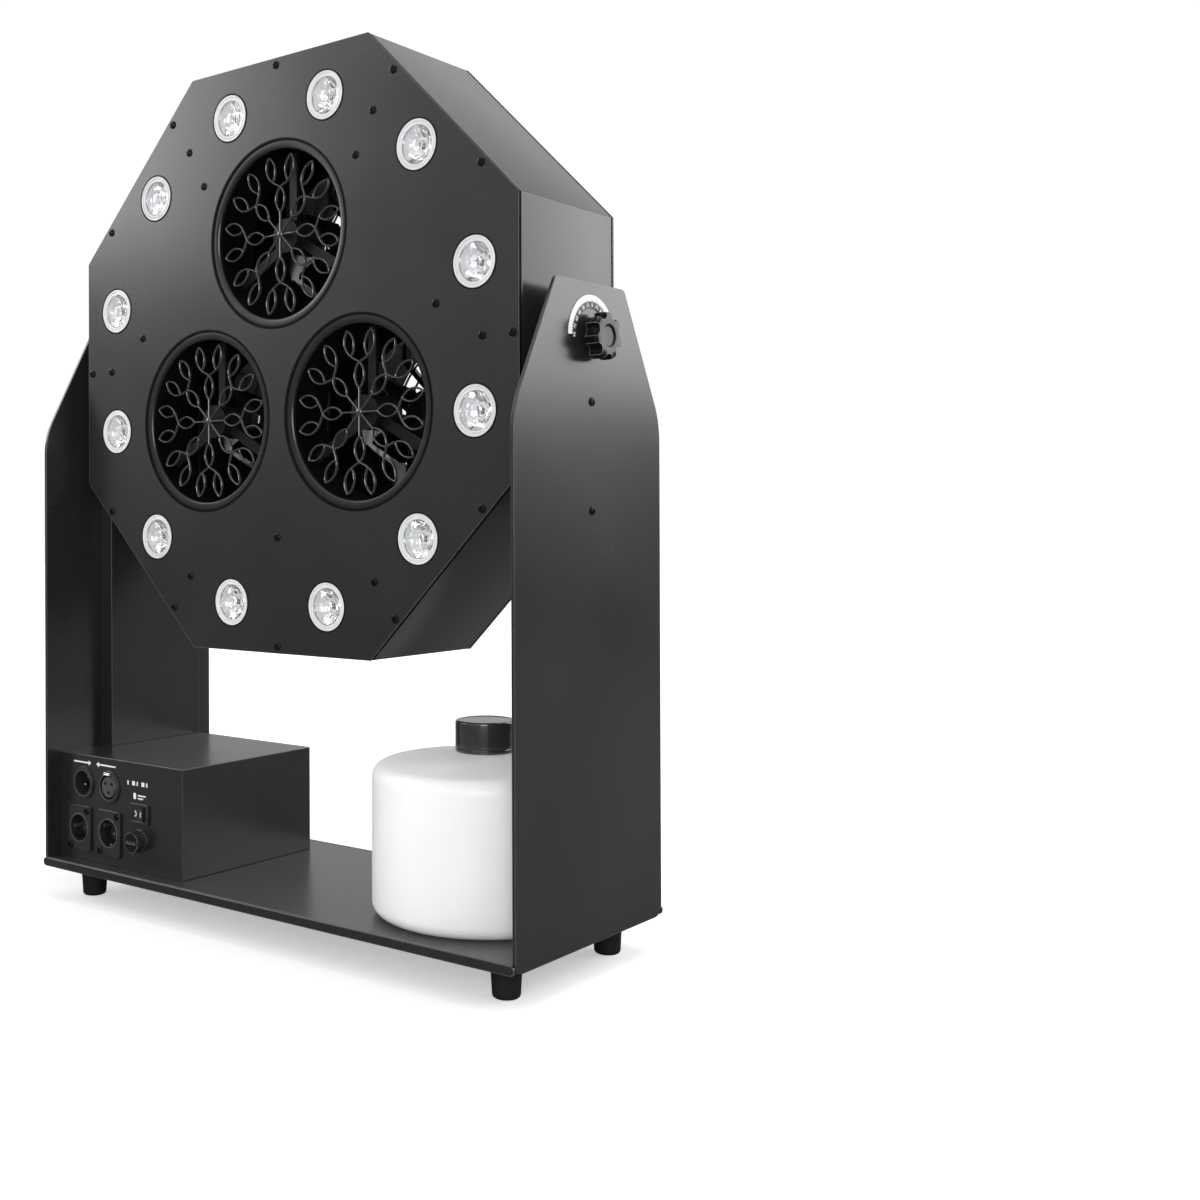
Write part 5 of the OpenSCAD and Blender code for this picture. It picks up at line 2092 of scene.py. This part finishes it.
    def switch(self) -> None:
        """Mould the switch bezel and the rocker with its ring and bar marks."""
        low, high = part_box("switch_frame")
        spot = self.spot("switch_frame")
        wide, tall = high.x - low.x, high.z - low.z
        bezel = plate(rounded_rectangle(wide, tall, 1.4 * MM), low.y, self.front, Across.Y,
                      Vector((spot.x, 0, spot.z)))
        half = Vector((wide / 2 - self.switch_rim - MM, 20 * MM, tall / 2 - self.switch_rim - 0.5 * MM))
        cut(bezel, box(spot - half, spot + half))
        soften(bezel, 0.5 * MM, 3)
        well = box(spot + Vector((-half.x - MM, 8 * MM, -half.z - 0.5 * MM)),
                   Vector((spot.x + half.x + MM, high.y, spot.z + half.z + 0.5 * MM)))
        dress(join([paint(bezel, SHELL), paint(well, SHELL)], "switch_bezel"), SHELL, "frame",
              ["switch_frame"], keep=True)
        self.rocker(spot, wide / 2 - self.switch_rim - 1.4 * MM, tall / 2 - self.switch_rim - 0.9 * MM)

    def rocker(self, spot: Vector, half_w: float, half_h: float) -> None:
        """Mould the rocker with a hollowed face, tipped to its off side.

        Args:
            spot: Middle of the switch on the front face.
            half_w: Half its width.
            half_h: Half its height.
        """
        face, tip, waist = -5.6 * MM, 0.6 * MM, -4.1 * MM
        outline = [(-half_w + 1.2 * MM, 3 * MM), (half_w - 1.2 * MM, 3 * MM), (half_w - tip, face),
                   (half_w * 0.5, face + 0.95 * MM), (0, waist), (-half_w * 0.5, face + 0.95 * MM),
                   (-half_w + tip, face)]
        body = paint(plate(outline, -half_h, half_h, Across.Z), SHELL)
        soften(body, 0.35 * MM, 3, 30)
        bpy.ops.mesh.primitive_torus_add(
            major_radius=1.9 * MM, minor_radius=0.42 * MM, major_segments=28, minor_segments=8,
            location=(-half_w * 0.52, face + 0.75 * MM, 0), rotation=(math.pi / 2, 0, math.radians(-12)))
        ring = paint(smooth(settle(bpy.context.object), 60), PRINT)
        bar = box(Vector((half_w * 0.5 - 0.3 * MM, face + 0.5 * MM, -2 * MM)),
                  Vector((half_w * 0.5 + 0.3 * MM, face + 1.4 * MM, 2 * MM)))
        bar = paint(bar, PRINT)
        soften(bar, 0.12 * MM)
        rocker = join([body, ring, bar], "power_rocker")
        tip_over = Matrix.Rotation(math.radians(-9), 4, "Z")
        pin = Vector((spot.x, self.front + 3 * MM, spot.z))
        rocker.data.transform(Matrix.Translation(pin) @ tip_over)
        dress(rocker, SHELL, "switch_rocker", ["switch_rocker"], keep=True)

    def fuse(self) -> None:
        """Turn the fuse holder's flange and mould its ribbed cap with a coin slot."""
        low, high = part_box("fuse_holder")
        spot = self.spot("fuse_holder")
        outer = (high.x - low.x) / 2
        face = self.front - low.y
        holder = turned(rounded(
            [(self.fuse_r + 0.4 * MM, -face, 0.2 * MM), (outer, -face, 0.6 * MM), (outer, 0, 0),
             (self.fuse_neck_r, 0, 0), (self.fuse_neck_r, high.y - self.front, 0),
             (self.fuse_r + 0.4 * MM, high.y - self.front, 0)], 3), spot, Across.Y, 48, closed=True)
        holder.name = "fuse_holder_body"
        dress(holder, SHELL, "frame", ["fuse_holder"])
        low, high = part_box("fuse_cap")
        radius = (high.x - low.x) / 2
        start, end = low.y - self.front, -face - 0.4 * MM
        grip = [
            polar(radius - 0.35 * MM * (1 + math.cos(math.radians(angle * self.fuse_ribs))), angle)
            for angle in range(0, 360, 5)
        ]
        head = plate(grip, start, end, Across.Y, spot)
        with editing(head):
            pick_faces(head, lambda c, n: n.y < -0.9)
            bpy.ops.mesh.inset(thickness=1.0 * MM)
        cut(head, box(spot + Vector((-radius * 0.62, start - MM, -0.75 * MM)),
                      spot + Vector((radius * 0.62, start + 1.3 * MM, 0.75 * MM))))
        soften(head, 0.3 * MM, 2, 50)
        sleeve = turned(rounded(
            [(self.fuse_bore, 0, 0), (self.fuse_r, end - MM, 0),
             (self.fuse_r, high.y - self.front, 0.3 * MM),
             (self.fuse_bore, high.y - self.front, 0.3 * MM)], 2), spot, Across.Y, 32, closed=True)
        dress(join([head, sleeve], "fuse_cap_knob"), KNOB, "fuse_cap", ["fuse_cap"])

    def signs(self) -> None:
        """Print plain arrows and bars by the connectors in place of any words."""
        low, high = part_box("control_box")
        left, top = low.x, high.z
        parts: list[bpy.types.Object] = []

        def mark(outline: Sequence[Point]) -> None:
            """Print one flat shape.

            Args:
                outline: Its points, in millimetres from the top left corner of the front.
            """
            points = [(left + x * MM, top - z * MM) for x, z in outline]
            parts.append(plate(points, self.front - self.sign_t, self.front + 0.02 * MM, Across.Y))

        for start, end, way in ((17.5, 35.5, 1), (48, 68, -1)):
            mark([(start, 5.4), (end, 5.4), (end, 6.6), (start, 6.6)])
            nose = start if way < 0 else end
            mark([(nose, 4.0), (nose + 3.2 * way, 6.0), (nose, 8.0)])
        for k in range(5):
            x, wide = 82 + 5.4 * k, 3.4 if k % 2 else 1.4
            mark([(x, 14.2), (x + wide, 14.2), (x + wide, 17.4), (x, 17.4)])
        mark([(89, 23), (92, 23), (92, 27.4), (89, 27.4)])
        mark([(94, 24), (103, 24), (103, 25), (94, 25)])
        mark([(94, 26.2), (100, 26.2), (100, 27.2), (94, 27.2)])
        obj = join(parts, "control_box_signs")
        with editing(obj):
            bpy.ops.mesh.select_all(action="SELECT")
            bpy.ops.mesh.normals_make_consistent(inside=False)
        dress(obj, PRINT, "frame")


# ---- Fluid bottle ----


@dataclass(frozen=True)
class FluidBottle:
    """The blow-moulded bottle and its screw cap."""

    wall_h: float = 100 * MM
    shoulder_r: float = 10 * MM
    foot_r: float = 9 * MM
    wall: float = 2 * MM
    rest: float = 0.08 * MM
    floor_z: float = 3.2 * MM
    cap_wall: float = 1.8 * MM
    cap_recess: float = 0.35 * MM
    seam_turn: float = 20

    def build(self) -> None:
        """Build the bottle and the cap."""
        self.bottle()
        self.cap()

    def bottle(self) -> None:
        """Turn the hollow bottle: hollowed foot, straight wall, round shoulder, domed top, neck."""
        low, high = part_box("bottle")
        cap_low, cap_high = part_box("bottle_cap")
        radius = (high.x - low.x) / 2
        neck = (cap_high.x - cap_low.x) / 2 - self.cap_wall - 0.4 * MM
        height, dome = high.z - low.z, cap_low.z - low.z - 1 * MM
        outer = rounded(
            [(0, 1.2 * MM, 0), (radius - 16 * MM, 0.9 * MM, 3 * MM),
             (radius - 12 * MM, self.rest, 2 * MM), (radius, self.rest, self.foot_r),
             (radius, self.wall_h, self.shoulder_r), (neck + 3 * MM, dome, 4 * MM),
             (neck, dome + 1.2 * MM, 0.8 * MM), (neck, height, 0.4 * MM)], 10)
        inner_r, inner_top = radius - self.wall, self.wall_h - self.wall
        inner = rounded(
            [(neck - self.wall, height, 0), (neck - self.wall, dome - self.wall, 3 * MM),
             (inner_r, inner_top, self.shoulder_r - self.wall),
             (inner_r, self.floor_z, self.foot_r - self.wall), (0, self.floor_z, 0)], 10)
        centre = (low + high) / 2
        obj = turned(outer + inner, Vector((centre.x, centre.y, low.z)), Across.Z, 128)
        obj.name = "fluid_bottle_shell"
        dress(smooth(obj, 50), BOTTLE, "bottle", ["bottle"])

    def cap(self) -> None:
        """Turn the cap with a rounded rim, a flat recess on top and one fine moulding line."""
        low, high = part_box("bottle_cap")
        centre = (low + high) / 2
        radius, height = (high.x - low.x) / 2, high.z - low.z
        inner = radius - self.cap_wall
        sunk, groove = height - self.cap_recess, radius - self.cap_recess
        profile = rounded(
            [(0, sunk, 0), (radius - 4.2 * MM, sunk, 0.3 * MM),
             (radius - 3.7 * MM, height, 0.3 * MM), (radius, height, 1.6 * MM),
             (radius, 3.4 * MM, 0.1 * MM), (groove, 3.0 * MM, 0.1 * MM),
             (groove, 2.6 * MM, 0.1 * MM), (radius, 2.2 * MM, 0.1 * MM), (radius, 0, 0.4 * MM),
             (inner, 0, 0.3 * MM), (inner, height - self.cap_wall, 0.5 * MM),
             (0, height - self.cap_wall, 0)], 5)
        at = Vector((centre.x, centre.y, low.z))
        cap = turned(profile, at, Across.Z, 96)
        line = box(Vector((-0.3 * MM, -radius - 0.18 * MM, 4 * MM)),
                   Vector((0.3 * MM, -radius + 0.3 * MM, height - 2 * MM)))
        soften(line, 0.1 * MM)
        turn = Matrix.Rotation(math.radians(self.seam_turn), 4, "Z")
        line.data.transform(Matrix.Translation(at) @ turn)
        dress(join([cap, line], "bottle_screw_cap"), CAP, "bottle_cap", ["bottle_cap"])


# ---- Studio ----


@dataclass(frozen=True)
class Softbox:
    """One soft light: where it stands and aims, its size and its power."""

    name: str
    at: tuple[float, float, float]
    aim: tuple[float, float, float]
    size: tuple[float, float]
    watts: float


@dataclass(frozen=True)
class Studio:
    """Pale floor, soft lights and the camera."""

    lay: Layout
    eye: tuple[float, float, float] = (1.7438, -1.8682, -0.2681)
    yaw: float = 38.607
    pitch: float = 0.1726
    roll: float = -0.2125
    lens: float = 43.747
    shift: tuple[float, float] = (0.1306, -0.0747)
    lights: tuple[Softbox, ...] = (
        Softbox("key_softbox", (-1.7, -0.9, 1.3), (-0.1, 0, 0.5), (1.0, 1.0), 18),
        Softbox("right_softbox", (1.35, 1.5, 1.15), (0.2, 0, 0.35), (1.3, 1.3), 24),
        Softbox("top_softbox", (0.3, 0.3, 2.2), (0, 0, 0), (1.4, 1.4), 22),
        Softbox("front_softbox", (1.3, -1.9, 0.8), (0, 0, 0.2), (1.0, 1.0), 24),
    )

    def build(self) -> None:
        """Set the floor, the lights, the sky and the camera."""
        bpy.ops.mesh.primitive_plane_add(size=14, location=(0, 0, 0))
        floor = settle(bpy.context.object, "studio_floor")
        floor.data.materials.append(self.floor_material())
        for light in self.lights:
            self.softbox(light)
        self.sky()
        self.camera()

    def floor_material(self) -> bpy.types.Material:
        """Make the matt white of the floor.

        Returns:
            The material.
        """
        made = bpy.data.materials.new("studio_white")
        made.use_nodes = True
        nodes = Nodes(made.node_tree)
        ray = nodes.add("LightPath")
        place = nodes.add("TexCoord").outputs["Object"]
        away = nodes.work_out("VectorMath", "LENGTH", place)
        lift = nodes.add("MapRange", Value=away.outputs["Value"], From_Min=0.5, From_Max=2.2,
                         To_Min=0.42, To_Max=1.0)
        glow = nodes.work_out("Math", "MULTIPLY", lift.outputs[0], ray.outputs["Is Camera Ray"])
        tone = nodes.add("MixRGB", Fac=ray.outputs["Is Glossy Ray"], Color1=(0.86, 0.86, 0.86, 1),
                         Color2=(0.22, 0.22, 0.23, 1))
        shader = nodes.add("BsdfPrincipled", Base_Color=tone.outputs[0], Roughness=0.9,
                           Specular_IOR_Level=0.1, Emission_Color=(1, 1, 1, 1),
                           Emission_Strength=glow.outputs[0])
        nodes.add("OutputMaterial", Surface=shader.outputs[0])
        return made

    def softbox(self, light: Softbox) -> None:
        """Hang one area light and aim it.

        Args:
            light: Its place, aim, size and power.
        """
        bpy.ops.object.light_add(type="AREA", location=light.at)
        lamp = bpy.context.object
        lamp.name = light.name
        lamp.data.shape = "RECTANGLE"
        lamp.data.size, lamp.data.size_y = light.size
        lamp.data.energy = light.watts
        line = Vector(light.aim) - Vector(light.at)
        lamp.rotation_euler = line.to_track_quat("-Z", "Y").to_euler()

    def sky(self) -> None:
        """White surroundings that light the object less than they show."""
        world = bpy.data.worlds.new("studio_sky")
        bpy.context.scene.world = world
        world.use_nodes = True
        nodes = Nodes(world.node_tree)
        ray = nodes.add("LightPath")
        parts = nodes.add("SeparateXYZ", Vector=nodes.add("TexCoord").outputs["Generated"])
        height = nodes.add("MapRange", Value=parts.outputs["Z"], From_Min=-0.15, From_Max=0.75,
                           To_Min=0.3, To_Max=1.15)
        soft = nodes.add("MixRGB", Fac=ray.outputs["Is Diffuse Ray"], Color1=height.outputs[0],
                         Color2=(0.32, 0.32, 0.32, 1))
        seen = nodes.add("MixRGB", Fac=ray.outputs["Is Camera Ray"], Color1=soft.outputs[0],
                         Color2=(1.05, 1.05, 1.05, 1))
        light = nodes.add("Background", Color=seen.outputs[0], Strength=1.0)
        nodes.add("OutputWorld", Surface=light.outputs[0])

    def camera(self) -> None:
        """Place the camera from the head's width and the tilt axis."""
        width = 2 * self.lay.half_head
        bpy.ops.object.camera_add(location=Vector(self.eye) * width + self.lay.tilt)
        camera = bpy.context.object
        camera.name = "studio_camera"
        yaw, pitch, roll = (math.radians(a) for a in (self.yaw, self.pitch, self.roll))
        ahead = Vector((-math.sin(yaw), math.cos(yaw), 0))
        level = Vector((math.cos(yaw), math.sin(yaw), 0))
        forward = ahead * math.cos(pitch) + Vector((0, 0, math.sin(pitch)))
        upright = level.cross(forward)
        right = level * math.cos(roll) + upright * math.sin(roll)
        up = upright * math.cos(roll) - level * math.sin(roll)
        camera.rotation_euler = Matrix((right, up, -forward)).transposed().to_euler()
        camera.data.sensor_width = 36
        camera.data.lens = self.lens
        camera.data.shift_x, camera.data.shift_y = self.shift
        bpy.context.scene.camera = camera
        bpy.context.scene.view_settings.view_transform = "Standard"


def dress_cad_nodes(nodes: dict[str, bpy.types.Object]) -> None:
    """Give the nodes that are shown as packed their finishes.

    Args:
        nodes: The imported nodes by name.
    """
    for finish, names in CAD_FINISHES.items():
        for name in names:
            paint(nodes[name], finish)


def main(frame: dict) -> None:
    """Build every sub-assembly in order.
    """
    logging.basicConfig(level=logging.INFO, format="%(name)s %(message)s", force=True)
    lay = Layout.read(frame["joints"])
    dress_cad_nodes(frame["nodes"])
    SideFrame(lay).build()
    for side in Side:
        TiltPivot(lay, side).build()
    head = HeadCase(lay)
    head.build()
    LampRing(lay, head.lamp_points()).build()
    for name in lay.outlets:
        Outlet(lay, name).build()
    ControlBox(lay).build()
    FluidBottle().build()
    Studio(lay).build()
    deselect()


if __name__ == "__main__":
    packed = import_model()
    main(packed)
